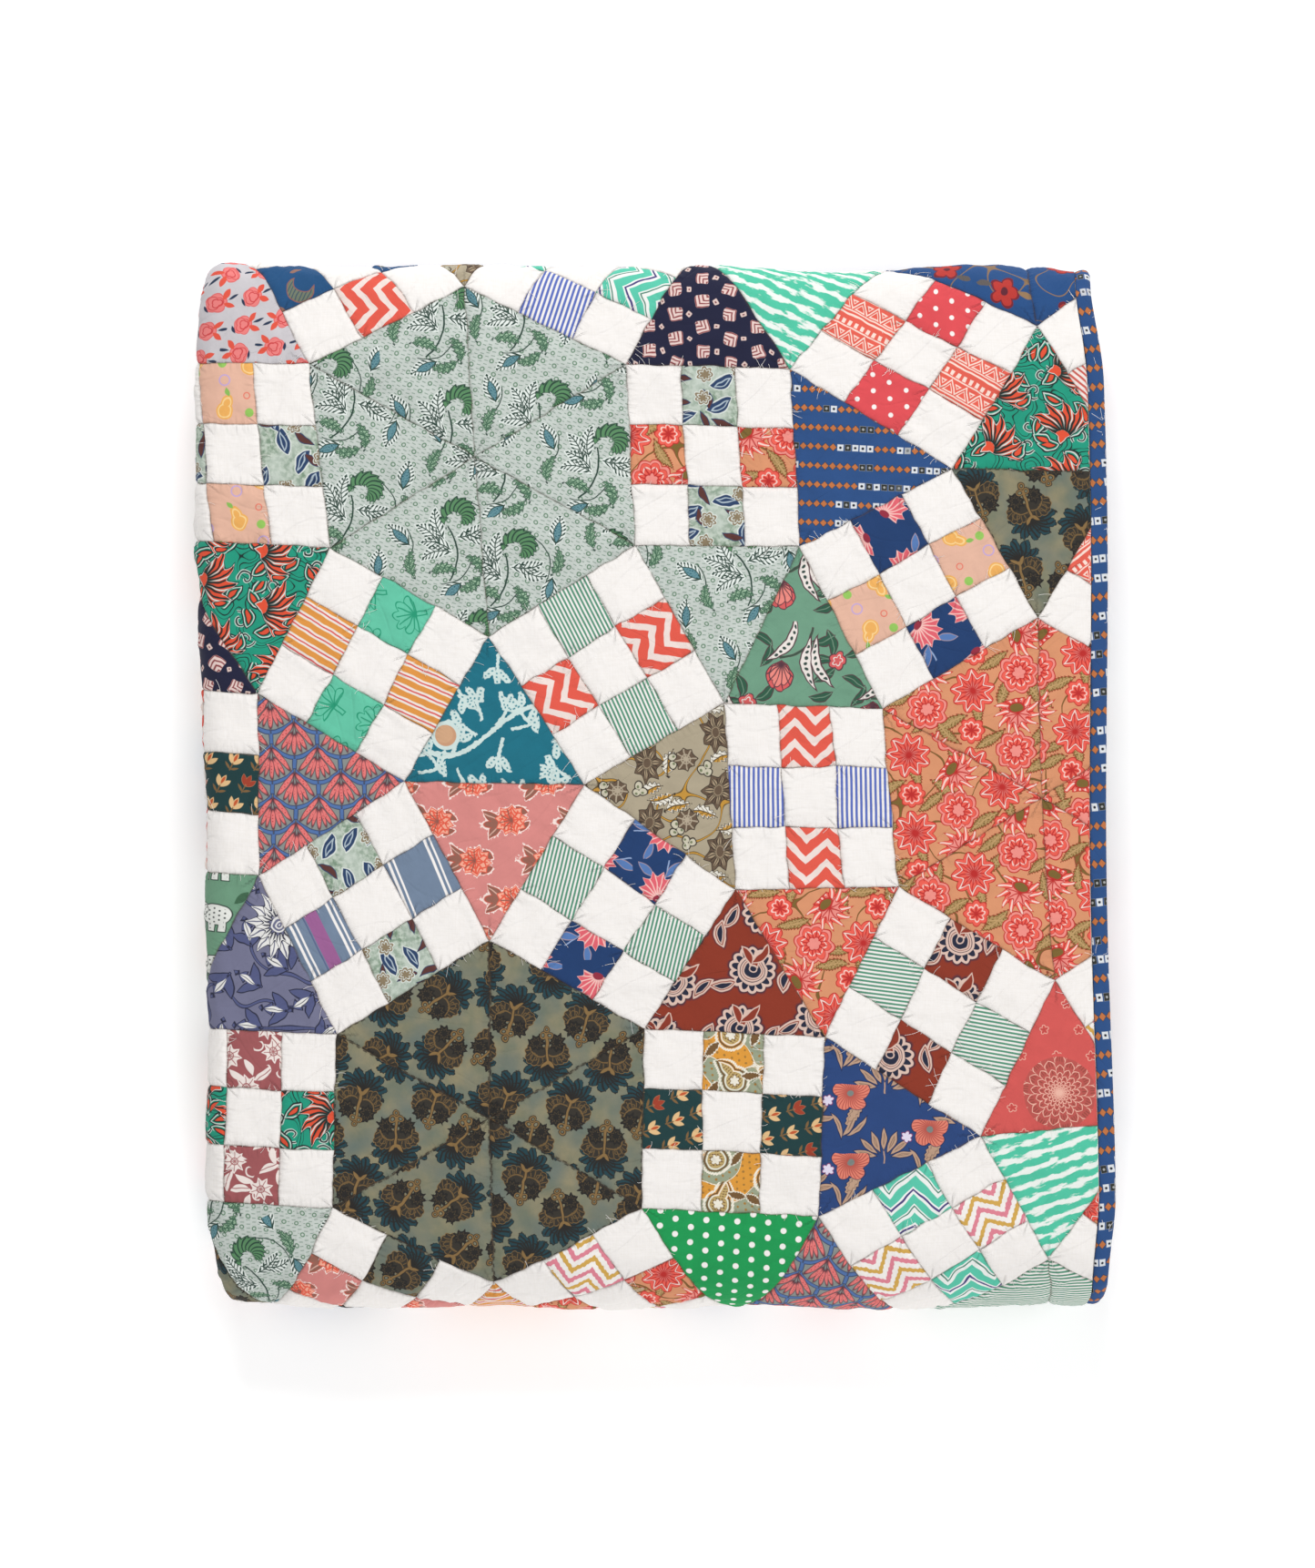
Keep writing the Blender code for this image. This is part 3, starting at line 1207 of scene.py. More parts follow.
class Cloth:
    """One cotton in the making: its shader, and the place on the cloth that it colours."""

    def __init__(self, name):
        self.material = bpy.data.materials.new(name)
        self.material.use_nodes = True
        self.tree = self.material.node_tree
        self.shader = self.tree.nodes["Principled BSDF"]
        self.flat = self.stored("print")
        self.seam = self.stored("seam")

    def stored(self, name):
        """A place that the mesh stores. That of a seam is (distance to it, along it)."""
        source = self.tree.nodes.new("ShaderNodeUVMap")
        source.uv_map = name
        split = self.tree.nodes.new("ShaderNodeSeparateXYZ")
        self.tree.links.new(source.outputs[0], split.inputs[0])
        return Place(Number(self.tree, split.outputs[0]), Number(self.tree, split.outputs[1]))

    def vector(self, place):
        node = self.tree.nodes.new("ShaderNodeCombineXYZ")
        self.tree.links.new(place.x.socket, node.inputs[0])
        self.tree.links.new(place.y.socket, node.inputs[1])
        return node.outputs[0]

    def noise(self, place, size, detail=1.0, across=1.0):
        """Soft noise around 0.5 with lumps of that size, stretched along x by across."""
        node = self.tree.nodes.new("ShaderNodeTexNoise")
        node.noise_dimensions = "2D"
        node.inputs["Scale"].default_value = 1 / size
        node.inputs["Detail"].default_value = detail
        stretched = place if across == 1.0 else place.squeezed(across, 1.0)
        self.tree.links.new(self.vector(stretched), node.inputs["Vector"])
        return Number(self.tree, node.outputs[0])

    def dice(self, column, row):
        """A random number from 0 to 1 for each repeat."""
        node = self.tree.nodes.new("ShaderNodeTexWhiteNoise")
        node.noise_dimensions = "2D"
        self.tree.links.new(self.vector(Place(column, row)), node.inputs["Vector"])
        return Number(self.tree, node.outputs[0])

    def tossed(self, place, wide, high, spread=ANY_TURN, back=0.0):
        """The place in a repeat whose axes are turned by chance: by -back to spread - back."""
        spot, column, row = place.repeated(wide, high)
        turn = self.dice(column, row) * spread
        return spot.turned(turn - back if back else turn)

    def hand(self, amount=1.0, size=9.0):
        """The place as a hand-cut printing block has it, a little out of true."""
        x = self.noise(self.flat, size) - 0.5
        y = self.noise(self.flat.moved(77, 31), size) - 0.5
        return Place(self.flat.x + x * (3 * amount), self.flat.y + y * (3 * amount))

    # Which of a mix node's sockets are those of colours
    MIX_UNDER, MIX_OVER, MIX_RESULT = 6, 7, 2

    def mixed(self, share, under, over):
        """One colour over another where the share is 1. A colour is a tuple or a socket."""
        node = self.tree.nodes.new("ShaderNodeMix")
        node.data_type = "RGBA"
        self.tree.links.new(share.socket, node.inputs[0])
        for place, colour in ((self.MIX_UNDER, under), (self.MIX_OVER, over)):
            if isinstance(colour, tuple):
                node.inputs[place].default_value = linear(colour)
            else:
                self.tree.links.new(colour, node.inputs[place])
        return node.outputs[self.MIX_RESULT]

    def mottled(self, first, second, size, sharpness=3.0, detail=3.0):
        """Two colours in soft clouds."""
        share = self.noise(self.flat.moved(13, 57), size, detail)
        return self.mixed(ramp(share - 0.5, sharpness, 0.5), first, second)

    def printed(self, ground, *layers, edge=PRINT_EDGE):
        """A ground with shapes printed on it in turn, each a field and a colour."""
        colour = ground
        if isinstance(ground, tuple):
            deeper = tuple(c * CLOUD_DEPTH for c in ground)
            colour = self.mottled(ground, deeper, CLOUD_SIZE, 2.0)
        for field, over in layers:
            colour = self.mixed(ramp(field, 1 / edge, 0.5), colour, over)
        return colour


def white_muslin(cloth):
    slubs = cloth.noise(cloth.flat, 0.9, 1.0, 12.0)
    slubs = slubs + cloth.noise(cloth.flat.turned(90), 0.9, 1.0, 12.0)
    return cloth.mixed(ramp(slubs - 1.0, 1.0, 0.35), MUSLIN, MUSLIN_SHADE)


def ticking(colour, period):
    """Narrow woven stripes along x."""

    def weave(cloth):
        place = cloth.hand(0.12, 20)
        return cloth.printed(MUSLIN, (stripes(place.y, period, period * 0.52), colour))

    return weave


def dotted(ground, period, radius):
    """Plain dots on a ground."""

    def weave(cloth):
        spot = cloth.hand(0.15).tiled(period, period)
        return cloth.printed(ground, (disc(spot, radius), MUSLIN))

    return weave


def orange_stripe(cloth):
    y = cloth.hand(0.4).y
    return cloth.printed(
        (244, 236, 228),
        (stripes(y, 7.8, 4.0), (226, 152, 72)),
        (stripes(y + 3.9, 7.8, 1.1), (222, 92, 92)),
    )


def red_stripe(cloth):
    y = cloth.hand(0.3).y
    return cloth.printed((244, 232, 226), (stripes(y, 3.4, 1.5), (205, 95, 85)))


def wide_blue_stripe(cloth):
    y = cloth.hand(0.2, 20).y
    return cloth.printed(
        (118, 136, 160),
        (stripes(y, 84, 9.0), (158, 98, 150)),
        (stripes(y - 12.5, 28, 1.8), MUSLIN),
        (stripes(y - 16.0, 28, 1.3), MUSLIN),
        (stripes(y + 5.6, 84, 1.0), (92, 104, 140)),
    )


def red_chevron(cloth):
    value = zigzag(cloth.hand(0.7), 27, 12.8)
    return cloth.printed((243, 226, 219), (stripes(value, 13.8, 8.2), (228, 92, 76)))


def pastel_zigzag(cloth):
    place = cloth.hand(0.5, 5)
    value = zigzag(place, 25, 12)
    beads = folded(place.x, 2.4) * 0.6
    return cloth.printed(
        (250, 245, 240),
        (stripes(value, 17, 4.8) - beads, (226, 134, 150)),
        (stripes(value + 8.5, 17, 4.5) - beads, (214, 170, 84)),
    )


def aqua_waves(cloth):
    place = cloth.hand(1.6, 16)
    value = zigzag(place, 32, 15)
    return cloth.printed(
        (244, 246, 243),
        (stripes(value, 12, 6.4), (92, 200, 172)),
        (stripes(value + 5.6, 24, 1.8), (76, 66, 128)),
        (stripes(value - 7.0, 24, 1.2), (70, 130, 110)),
    )


def mint_brush(cloth):
    place = cloth.hand(0.8, 14)
    fray = (cloth.noise(cloth.flat, 3.5, 3.0, 3.0) - 0.5) * 9
    strokes = stripes(place.y, 9.0, 3.6) + fray
    return cloth.printed((84, 202, 168), (strokes, (238, 244, 238)), edge=1.2)


def navy_geo(cloth):
    place = cloth.hand(0.9)
    spot, column, row = place.repeated(18.0, 16.4)
    chance = cloth.dice(column, row)
    square = spot.turned(rounded(chance * 3) * (pi / 2) + chance * 0.5 - 0.25)
    tooth = most(square.x, square.y)
    shape = least(box(square, 8.6, 8.6), disc(square, 5.4))
    dot = cloth.tossed(place.moved(9, 0), 18.0, 16.4, 3)
    return cloth.printed(
        (34, 36, 62),
        (shape, (232, 206, 200)),
        (least(shape, stripes(tooth + 0.6, 2.3, 0.9)), (140, 62, 66)),
        (least(box(dot, 3.4, 3.0), disc(dot, 2.0)), (226, 200, 192)),
        (box(dot, 1.2, 1.0), (120, 60, 66)),
    )


def diamond_rows(cloth, place, long):
    """Blue cloth with rows of small diamonds, broken by a few squares."""
    cell, column, row = place.repeated(4.9, 12.6, 0.0)
    kind = cloth.dice(rounded(column * 0.4), row)
    square = (kind - 0.66) * 20
    dark = (cloth.dice(column, row) - 0.5) * 20
    diamond = 2.25 - (abs(cell.x) + abs(cell.y) * (1 / long))
    return cloth.printed(
        (46, 82, 136),
        (least(diamond + 0.5, 0 - square), (52, 60, 66)),
        (least(diamond, 0 - square), (194, 116, 68)),
        (least(box(cell, 4.0, 4.2 * long), square), (222, 226, 230)),
        (least(box(cell, 4.0, 4.2 * long), square, dark), (50, 52, 48)),
        (least(disc(cell, 0.9), square), (26, 30, 44)),
        (least(disc(cell, 0.8), square, dark), (170, 172, 170)),
    )


def blue_diamonds(cloth):
    return diamond_rows(cloth, cloth.hand(0.2), 1.0)


def binding_print(cloth):
    place = cloth.hand(0.3).turned(7)
    return diamond_rows(cloth, Place(place.y, place.x), 1.2)


def sage_sprig(cloth):
    place = cloth.hand(0.4)
    ring = place.tiled(6.8, 8.6)
    dash = place.turned(-24).tiled(3.8, 2.7)
    spot = cloth.tossed(place, 86, 70, 0.7, 0.35)
    green, ink, pale, teal = (92, 140, 98), (44, 70, 60), (232, 239, 234), (44, 92, 108)

    fern = curled(spot.at(10, 13, 40), 7.2, 1.6)
    head = toothed(fern, 38, 11.5, 2.8, 1.2)
    veins = least(stripes(fern.x + fern.y * 0.8, 3.0, 1.0), head - 0.3)
    stems = most(
        tendril(spot, -1, -8, 68, 0.018, 19, 1.2),
        tendril(spot, -27, 6, 60, 0.03, 14, 0.8),
        tendril(spot, 29, 6, 100, 0.03, 17, 0.8),
        tendril(spot, -4, -23, 20, 0.03, 15, 0.8),
    )

    bud_at = [spot.at(*at) for at in ((-31, 17, 112), (27, -15, 250), (-14, -29, 200), (36, 22, 75))]
    plume_at = bent_places(
        spot,
        (-12, 12, 118, 0.02),
        (-6, 15, 82, -0.02),
        (-14, -1, 172, 0.03),
        (-11, 4, 144, 0.02),
        (16, -4, 330, 0.03),
        (14, 0, 2, 0.02),
    )
    plumes = [[leaf(b, 23, 9.5), bristled(b, 21, 9.0)] for b in plume_at]
    plumes += [[leaf(b.at(1.5, 0), 21, 11.5), bristled(b.at(1.5, 0), 20, 11.0)] for b in bud_at]
    halos, bristles = joined(*plumes)
    buds, ribs = joined(*[
        [leaf(b, 13, 4.6), most(line(b.y, 0.6), stripes(b.x - abs(b.y) * 0.8, 2.2, 0.6))]
        for b in bud_at
    ])
    frond_at = bent_places(
        spot,
        (-13, -13, 160, 0.03),
        (9, -19, 290, -0.03),
        (-33, -2, 250, 0.03),
        (35, 2, 250, -0.03),
        (-1, -31, 10, 0.03),
    )
    fronds, lines = joined(*[
        [
            toothed(f, 20, 7.8, 3.4, 1.0),
            most(line(f.y, 0.7), stripes(f.x + abs(f.y) * 0.9, 3.4, 0.7)),
        ]
        for f in frond_at
    ])
    return cloth.printed(
        (202, 210, 204),
        (line(ring.reach() - 1.2, 0.8), (106, 138, 114)),
        (least(box(dash, 2.3, 0.5), ring.reach() - 2.2), (126, 148, 134)),
        (halos, pale),
        (most(stems, bristles), ink),
        *inked(head, green, ink, 0.8),
        (veins, ink),
        *inked(fronds, (162, 194, 164), ink, 0.65),
        (least(lines, fronds), (64, 102, 80)),
        *inked(buds, teal, ink, 0.7),
        (least(ribs, buds), (104, 148, 156)),
    )


def olive_floral(cloth):
    place = cloth.hand(0.9)
    first, column, row = place.repeated(49, 57, 0.0)
    tilt = cloth.dice(column, row) * 0.6 - 0.3
    second = place.moved(24.5, 28.5).tiled(49, 57, 0.0).turned(168)
    crests = joined(crest(first.turned(tilt)), crest(second))
    lotus, lines, blossom, marks, tuft, finial = crests
    ochre, ink, teal = (136, 108, 68), (42, 40, 38), (38, 68, 76)
    ground = cloth.mottled((118, 122, 102), (146, 138, 110), 15, 2.4)
    ground = cloth.mixed(cloth.noise(cloth.flat.moved(40, 3), 22) * 1.6 - 0.5, ground, (98, 114, 112))
    soft = ramp(most(blossom, finial) + 1.0, 0.35, 0.3) * 0.35
    ground = cloth.mixed(soft, ground, ochre)
    rough = (cloth.noise(cloth.flat, 1.8, 1.0) - 0.5) * 2.4
    return cloth.printed(
        ground,
        *inked(lotus + rough, teal, ink, 0.7),
        (lines, ink),
        (blossom + 0.9, ochre),
        *inked(blossom + 0.1, (56, 52, 46), ink, 0.4),
        (marks, (118, 94, 60)),
        (tuft + rough + 0.4, ink),
        (least(line(tuft - 2.0, 0.4), tuft), (92, 78, 56)),
        *inked(finial, ochre, ink, 0.5),
    )


def orange_floral(cloth):
    place = cloth.hand(0.7)
    star = cloth.tossed(place, 60, 52)
    rose = cloth.tossed(place.moved(30, 13), 60, 52)
    lotus = cloth.tossed(place.moved(30, -13), 60, 52)
    small = place.moved(0, 26).tiled(60, 52)
    coral, pink, white = (238, 98, 84), (240, 146, 136), (246, 214, 204)
    olive, ink = (124, 100, 50), (190, 46, 44)

    leaf_at = bent_places(small, (13, -6, 35, 0.008), (-14, 5, 30, -0.008), (3, 14, 110, 0.01))
    leaf_at += bent_places(rose, (13, 11, 60, 0.01))
    leaf_at += bent_places(lotus, (-16, -6, 120, 0.01))
    leaves, ribs = joined(*[
        [toothed(f, 24, 7.4, 2.0, 1.0), most(line(f.y, 0.8), stripes(f.x + abs(f.y), 2.8, 0.5))]
        for f in leaf_at
    ])
    web = cloth.noise(place, 33, 0.0) - 0.5
    stems = line(web * 95, 1.7)
    ruff = least(petals(swirled(lotus, 0.03), 16.0, 13, 0.4, 0, True), lotus.y + 8)
    heart = petals(lotus.at(0, 1), 9.0, 9, 0.36, 0, True)
    rays = petals(star, 12.0, 9, 0.42, 90, True)
    return cloth.printed(
        (222, 152, 112),
        *inked(stems, olive, (140, 70, 48), 0.5),
        *inked(leaves, olive, (150, 60, 44), 0.6),
        (least(ribs, leaves - 0.6), (196, 160, 110)),
        *inked(petals(star, 14.5, 9, 0.24, 90), coral, ink, 0.7),
        *inked(petals(star, 14.6, 9, 0.42, 90, True), white, ink, 0.5),
        *inked(rays, coral, ink, 0.7),
        *inked(petals(star, 7.2, 9, 0.5, 90, True), pink, ink, 0.5),
        (least(spokes(star, 18, 0.7, 12), rays), ink),
        (disc(star, 1.8), ink),
        *inked(petals(rose, 13.4, 8, 0.18), pink, ink, 0.8),
        *inked(petals(rose, 11.4, 8, 0.22), coral, ink, 0.4),
        (line(petals(rose, 8.6, 8, 0.3), 0.9), white),
        (least(spokes(rose, 16, 0.8, 9), disc(rose, 9)), ink),
        *inked(petals(rose, 4.4, 6, 0.3), pink, ink, 0.7),
        *inked(ruff, coral, ink, 0.8),
        (least(spokes(swirled(lotus, 0.03), 13, 1.1, 15), ruff), white),
        (least(spokes(swirled(lotus.turned(14), 0.03), 13, 0.8, 14), ruff), ink),
        *inked(heart, pink, ink, 0.7),
        (least(spokes(lotus.at(0, 1), 9, 0.7, 8), heart), ink),
        *inked(oval(lotus.at(0, -3), 4.6, 2.8), olive, ink, 0.8),
        *inked(petals(small, 8.4, 8, 0.2), coral, ink, 0.7),
        (line(petals(small, 5.8, 8, 0.3), 0.9), white),
        (spokes(small, 8, 0.9, 4.5), ink),
    )


def blue_red_vine(cloth):
    spot = cloth.tossed(cloth.hand(0.8), 46, 44)
    vines = cloth.noise(cloth.flat, 34, 0.0) - 0.5
    return cloth.printed(
        (40, 80, 134),
        (line(vines * 90, 1.3), (140, 112, 84)),
        (petals(spot, 10, 5, 0.4) + 0.8, (120, 40, 50)),
        (petals(spot, 9, 5, 0.4), (186, 58, 52)),
        (disc(spot, 2.4), (96, 40, 52)),
        (leaf(spot.at(14, 5, 35), 11, 4.5), (96, 90, 88)),
        (leaf(spot.at(-12, -9, 200), 12, 4), (150, 120, 88)),
    )


def teal_coral(cloth):
    place = cloth.hand(0.9)
    spot = place.moved(0, 4).tiled(62, 58)
    other = place.moved(31, 10).tiled(62, 58)
    stems = line(place.y - sine(place.x * (2 * pi / 124)) * 16 - 2, 3.6)
    twigs, dots = joined(*[
        coral_twig(bent(home.at(x, y, angle), 0.012))
        for home, x, y, angle in (
            (spot, 9, 11, 62),
            (spot, -10, 16, 112),
            (spot, 24, 2, 20),
            (spot, -21, 1, 160),
            (spot, 4, -18, 262),
            (other, 8, 14, 66),
            (other, -12, 6, 128),
            (other, 12, -14, 305),
        )
    ])
    spare = cloth.flat.moved(-31, -1).tiled(150, 130)
    ragged = most(stems, twigs) + (cloth.noise(cloth.flat, 2.2, 1.0) - 0.5) * 1.6
    pale = (208, 226, 222)
    return cloth.printed(
        (30, 114, 134),
        (ragged, pale),
        (dots, (74, 142, 154)),
        (disc(spare, 9.5), pale),
        (disc(spare, 7.0), (206, 158, 124)),
        (disc(spare.moved(-1, 1), 5.8), (212, 168, 132)),
    )


def pink_buti(cloth):
    place = cloth.hand(0.7)
    cell, column, row = place.turned(90).repeated(26, 49)
    spot = cell.turned(-90).turned(cloth.dice(column, row) * 0.5 - 0.25)
    both = Place(spot.x, abs(spot.y))
    head = spot.at(3, 0)
    body = petals(head.squeezed(1.1, 1.0), 9.6, 9, 0.24, 0, True)
    leaves = most(
        leaf(bent(both.at(-9, 4.4, -32), 0.03), 13, 4.8),
        leaf(bent(both.at(11.0, 5.0, -35), 0.03), 8, 3.4),
        oval(spot.at(-9, 0), 5.5, 2.2),
    )
    halo = most(body, leaves) + 1.3 + (cloth.noise(cloth.flat, 2.2, 2.0) - 0.5) * 4
    red, peach = (232, 96, 74), (248, 176, 152)
    strokes = most(
        line(petals(head, 8.4, 7, 0.3, 90, True), 1.3),
        line(petals(head.at(-0.5, 0), 5.4, 5, 0.3, 0, True), 1.3),
        line(petals(head.at(-1, 0), 2.6, 5, 0.3), 1.1),
        spokes(head, 9, 1.0, 8.0),
    )
    return cloth.printed(
        (221, 141, 136),
        (halo, (248, 228, 220)),
        *inked(leaves, (150, 100, 86), (196, 84, 66), 0.5),
        (least(line(both.at(-9, 4.4, -32).y, 0.7), leaves), (220, 178, 162)),
        *inked(body, peach, red, 0.7),
        (least(strokes, body), red),
        (least(spokes(head.turned(20), 9, 0.7, 9.0), line(head.x + 4, 10.0), body), (150, 92, 80)),
    )


def teal_scroll(cloth):
    place = cloth.hand(0.9)
    lily = cloth.tossed(place, 40, 36, 2.4, 0.2)
    other = cloth.tossed(place.moved(20, 0), 40, 36)
    ink, red, white = (30, 48, 46), (226, 84, 56), (216, 226, 218)

    fan = lily.at(-11, 0)
    hook = swirled(fan, 0.03)
    flames = petals(hook, 25, 13, 0.3, 90, True)
    bloom = least(flames, fan.x * 1.5 + 2 - abs(fan.y))
    bloom = most(bloom, leaf(bent(lily.at(-8, 0), 0.02), 14, 6))
    middle = fan.reach() - 5
    creases = least(spokes(hook, 26, 1.3, 24), bloom, middle)
    lights = least(spokes(hook.turned(7), 13, 0.9, 21), bloom, middle)
    leaf_at = bent_places(other, (11, 6, 35, 0.02), (-11, -6, 215, 0.02), (2, -13, 290, 0.02))
    leaf_at += bent_places(lily, (-13, 13, 60, 0.02), (4, -15, 10, 0.02))
    leaves, mids = joined(*[[leaf(f, 15, 7.0), leaf(f, 9, 2.6)] for f in leaf_at])
    coils = most(*[
        least(line(curled(c, 3.6, 0.7).y, 1.1), 6 - c.reach())
        for c in (other.at(0, 2), other.at(7, -9, 120), lily.at(-4, 15, 200))
    ])
    web = (cloth.noise(place, 20, 0.0) - 0.5) * 66
    web = most(line(web, 1.4), line(web + 5.0, 0.8), line(web - 5.5, 0.8))
    return cloth.printed(
        (36, 156, 128),
        (web, ink),
        (coils + 0.5, white),
        (coils, ink),
        (leaves + 1.2, ink),
        (leaves + 0.1, white),
        (leaves - 0.6, (44, 148, 122)),
        *inked(mids, red, ink, 0.9),
        (bloom + 1.3, ink),
        (bloom + 0.3, white),
        (bloom - 0.3, red),
        (lights, white),
        (creases, ink),
    )


def pink_poppy(cloth):
    spot, column, row = cloth.hand(0.6).repeated(22, 19)
    flip = rounded(cloth.dice(column, row)) * pi
    spot = spot.turned(flip + cloth.dice(row, column) * 0.9 - 0.2)
    head = spot.at(-2, 0)
    wings = most(leaf(spot.at(5.0, 4.0, 45), 8, 3.6), leaf(spot.at(5.8, -3.2, -30), 8, 3.6))
    stalk = most(leaf(spot.at(9.0, 1.5, 15), 8, 1.8), leaf(spot.at(-8.5, -2.0, -70), 6, 1.8))
    flower = petals(head, 6.2, 5, 0.12)
    return cloth.printed(
        (206, 202, 206),
        *inked(flower, (236, 130, 128), (222, 92, 90), 0.5),
        (line(petals(head.at(0.6, 0), 3.2, 3, 0.3), 0.7), (206, 64, 66)),
        (least(line(petals(head.at(-0.6, 0.4), 5.0, 3, 0.3), 0.5), flower), (206, 64, 66)),
        (wings, (226, 88, 70)),
        (stalk, (44, 58, 84)),
    )


def olive_vine(cloth):
    place = cloth.hand(0.7)
    spot = cloth.tossed(place, 46, 40, 1.8, 0.9)
    other = cloth.tossed(place.moved(23, 2), 46, 40)
    web = (cloth.noise(cloth.flat, 26, 0.0) - 0.5) * 84
    brown, ink, white, ochre = (104, 86, 70), (54, 46, 40), (234, 230, 218), (198, 148, 62)

    star = spot.squeezed(0.82, 1.12).moved(-3, 0)
    cup = petals(star, 12.4, 7, 0.34, 0, True)
    shine = least(petals(star, 10.4, 7, 0.6, 0, True), star.reach() - 3.0)
    creases = least(spokes(star, 21, 0.6, 10), cup - 0.6, star.reach() - 3.4)
    cherries, shadows = joined(*[
        [disc(home.at(x, y), 2.3), disc(home.at(x + 0.7, y + 0.5), 0.9)]
        for home, x, y in (
            (spot, 14.5, 3.2),
            (spot, 14.5, -2.2),
            (spot, 18.4, 0.6),
            (other, -9.5, 8.6),
            (other, -13.6, 6.0),
            (other, -13.2, 10.6),
        )
    ])
    berry = petals(other, 7.6, 8, 0.2, 0, True)
    scales = least(most(line(other.reach() - 3.0, 0.7), spokes(other, 8, 0.8, 7)), berry)
    leaf_at = bent_places(spot, (2, 17, 30, 0.02), (-3, -17, 200, 0.02))
    leaf_at += bent_places(other, (12, 0, 70, 0.02))
    leaves, halves, ribs = joined(*[
        [
            toothed(f, 19, 8.6, 3.2, 1.2),
            least(toothed(f, 17, 7.2, 3.2, 1.0), f.y),
            least(most(line(f.y, 0.8), stripes(f.x - abs(f.y), 3.2, 0.6)), leaf(f, 17, 6)),
        ]
        for f in leaf_at
    ])
    return cloth.printed(
        (178, 166, 142),
        *inked(line(web, 1.8), ochre, (96, 78, 48), 0.8),
        *inked(leaves, white, ink, 0.7),
        (halves, ochre),
        (ribs, (92, 72, 44)),
        *inked(cherries, (206, 200, 178), ink, 0.8),
        (shadows, (120, 128, 96)),
        *inked(berry, brown, ink, 0.5),
        (least(disc(other, 1.8), berry), (164, 150, 130)),
        (scales, (182, 168, 146)),
        *inked(cup, brown, ink, 0.6),
        (shine, (176, 156, 128)),
        (creases, ink),
    )


def dusty_sage_floral(cloth):
    place = cloth.hand(0.8)
    spot = cloth.tossed(place, 60, 56, 0.5, 0.25)
    other = place.moved(30, 0).tiled(60, 56)
    ink, deep, cream = (88, 56, 66), (50, 92, 72), (236, 228, 222)

    pod_at = bent_places(spot, (14, 2, -66, 0.02), (7, 1, -78, 0.017), (-6, 13, 64, 0.02))
    shells, seeds = joined(*[
        [leaf(p, 33, 6.0), least(disc(Place(folded(p.x, 3.8), p.y), 1.15), leaf(p, 29, 5))]
        for p in pod_at
    ])
    leaf_at = bent_places(spot, (-18, 2, 70, 0.03), (20, -20, 20, 0.03), (17, 17, 25, 0.03))
    leaf_at += bent_places(
        other,
        (-10, -8, 30, 0.02),
        (9, -11, 150, 0.02),
        (11, 8, 40, 0.03),
        (-5, 14, 100, 0.03),
        (-12, 3, 10, -0.03),
    )
    leaves, ribs = joined(*[[leaf(f, 16, 5.4), line(f.y, 0.5)] for f in leaf_at])
    head = spot.at(-9, -10)
    fan = least(petals(head.at(0, 5), 14.5, 9, 0.16), leaf(head.at(0, 0, 90), 22, 17))
    ring = least(petals(head.at(0, 3), 9.5, 7, 0.24), leaf(head.at(0, 1, 90), 18, 13))
    small = petals(other.at(-2, 2), 5.8, 5, 0.26)
    stem = line(place.y - sine(place.x * (2 * pi / 60)) * 8 - 3, 1.7)
    twig = tendril(spot, 4, 10, 50, 0.03, 16, 1.0)
    return cloth.printed(
        (114, 160, 134),
        *inked(most(stem, twig), deep, ink, 0.5),
        *inked(leaves, deep, ink, 0.6),
        (least(ribs, leaves), (120, 150, 128)),
        *inked(shells, cream, ink, 0.9),
        (seeds, (56, 76, 70)),
        *inked(most(fan, small), (216, 96, 96), ink, 0.8),
        *inked(ring, (236, 138, 128), ink, 0.7),
        (least(spokes(head.at(0, 8), 18, 0.7, 20), fan), ink),
        (line(small - 2.2, 0.7), cream),
    )


def rust_paisley(cloth):
    place = cloth.hand(0.6)
    spot = cloth.tossed(place, 50, 40, 1.6, 0.8)
    twig = cloth.tossed(place.moved(25, 4), 50, 40, 2.0, 0.5)
    rust, navy, cream = (142, 58, 42), (40, 44, 64), (222, 192, 178)

    opening = most(0 - spot.y, abs(spot.x) - 5.5)
    ring = least(petals(spot, 15.2, 14, 0.12), spot.reach() - 8.6, opening + 6)
    cells = least(petals(spot, 13.8, 14, 0.3), spot.reach() - 9.8, opening + 4)
    heart = least(disc(spot, 5.4), most(2.5 - spot.y, abs(spot.x) - 3))
    tall, short = bent_places(spot, (4, 11, 60, 0.03), (-5, 9, 130, 0.03))
    sprouts = most(leaf(tall, 16, 4.6), leaf(short, 12, 4.0))
    leaf_at = bent_places(twig, (8, 2, 25, 0.02), (-5, -3, 240, 0.02))
    leaves, cores = joined(*[[leaf(f, 19, 8.6), leaf(f, 12, 3.6)] for f in leaf_at])
    shade = ramp(most(ring, leaves - 1.0) + 2.6, 0.45, 0.0)
    return cloth.printed(
        cloth.mixed(shade, (142, 56, 38), navy),
        (most(ring + 0.4, leaves), cream),
        (leaves - 1.2, rust),
        *inked(cores, navy, cream, 0.7),
        (cells, navy),
        (least(line(spot.reach() - 7.2, 1.0), opening + 6), cream),
        *inked(heart, navy, cream, 0.9),
        (line(disc(spot.at(0, 1), 2.4), 0.8), cream),
        *inked(sprouts, rust, cream, 0.9),
    )


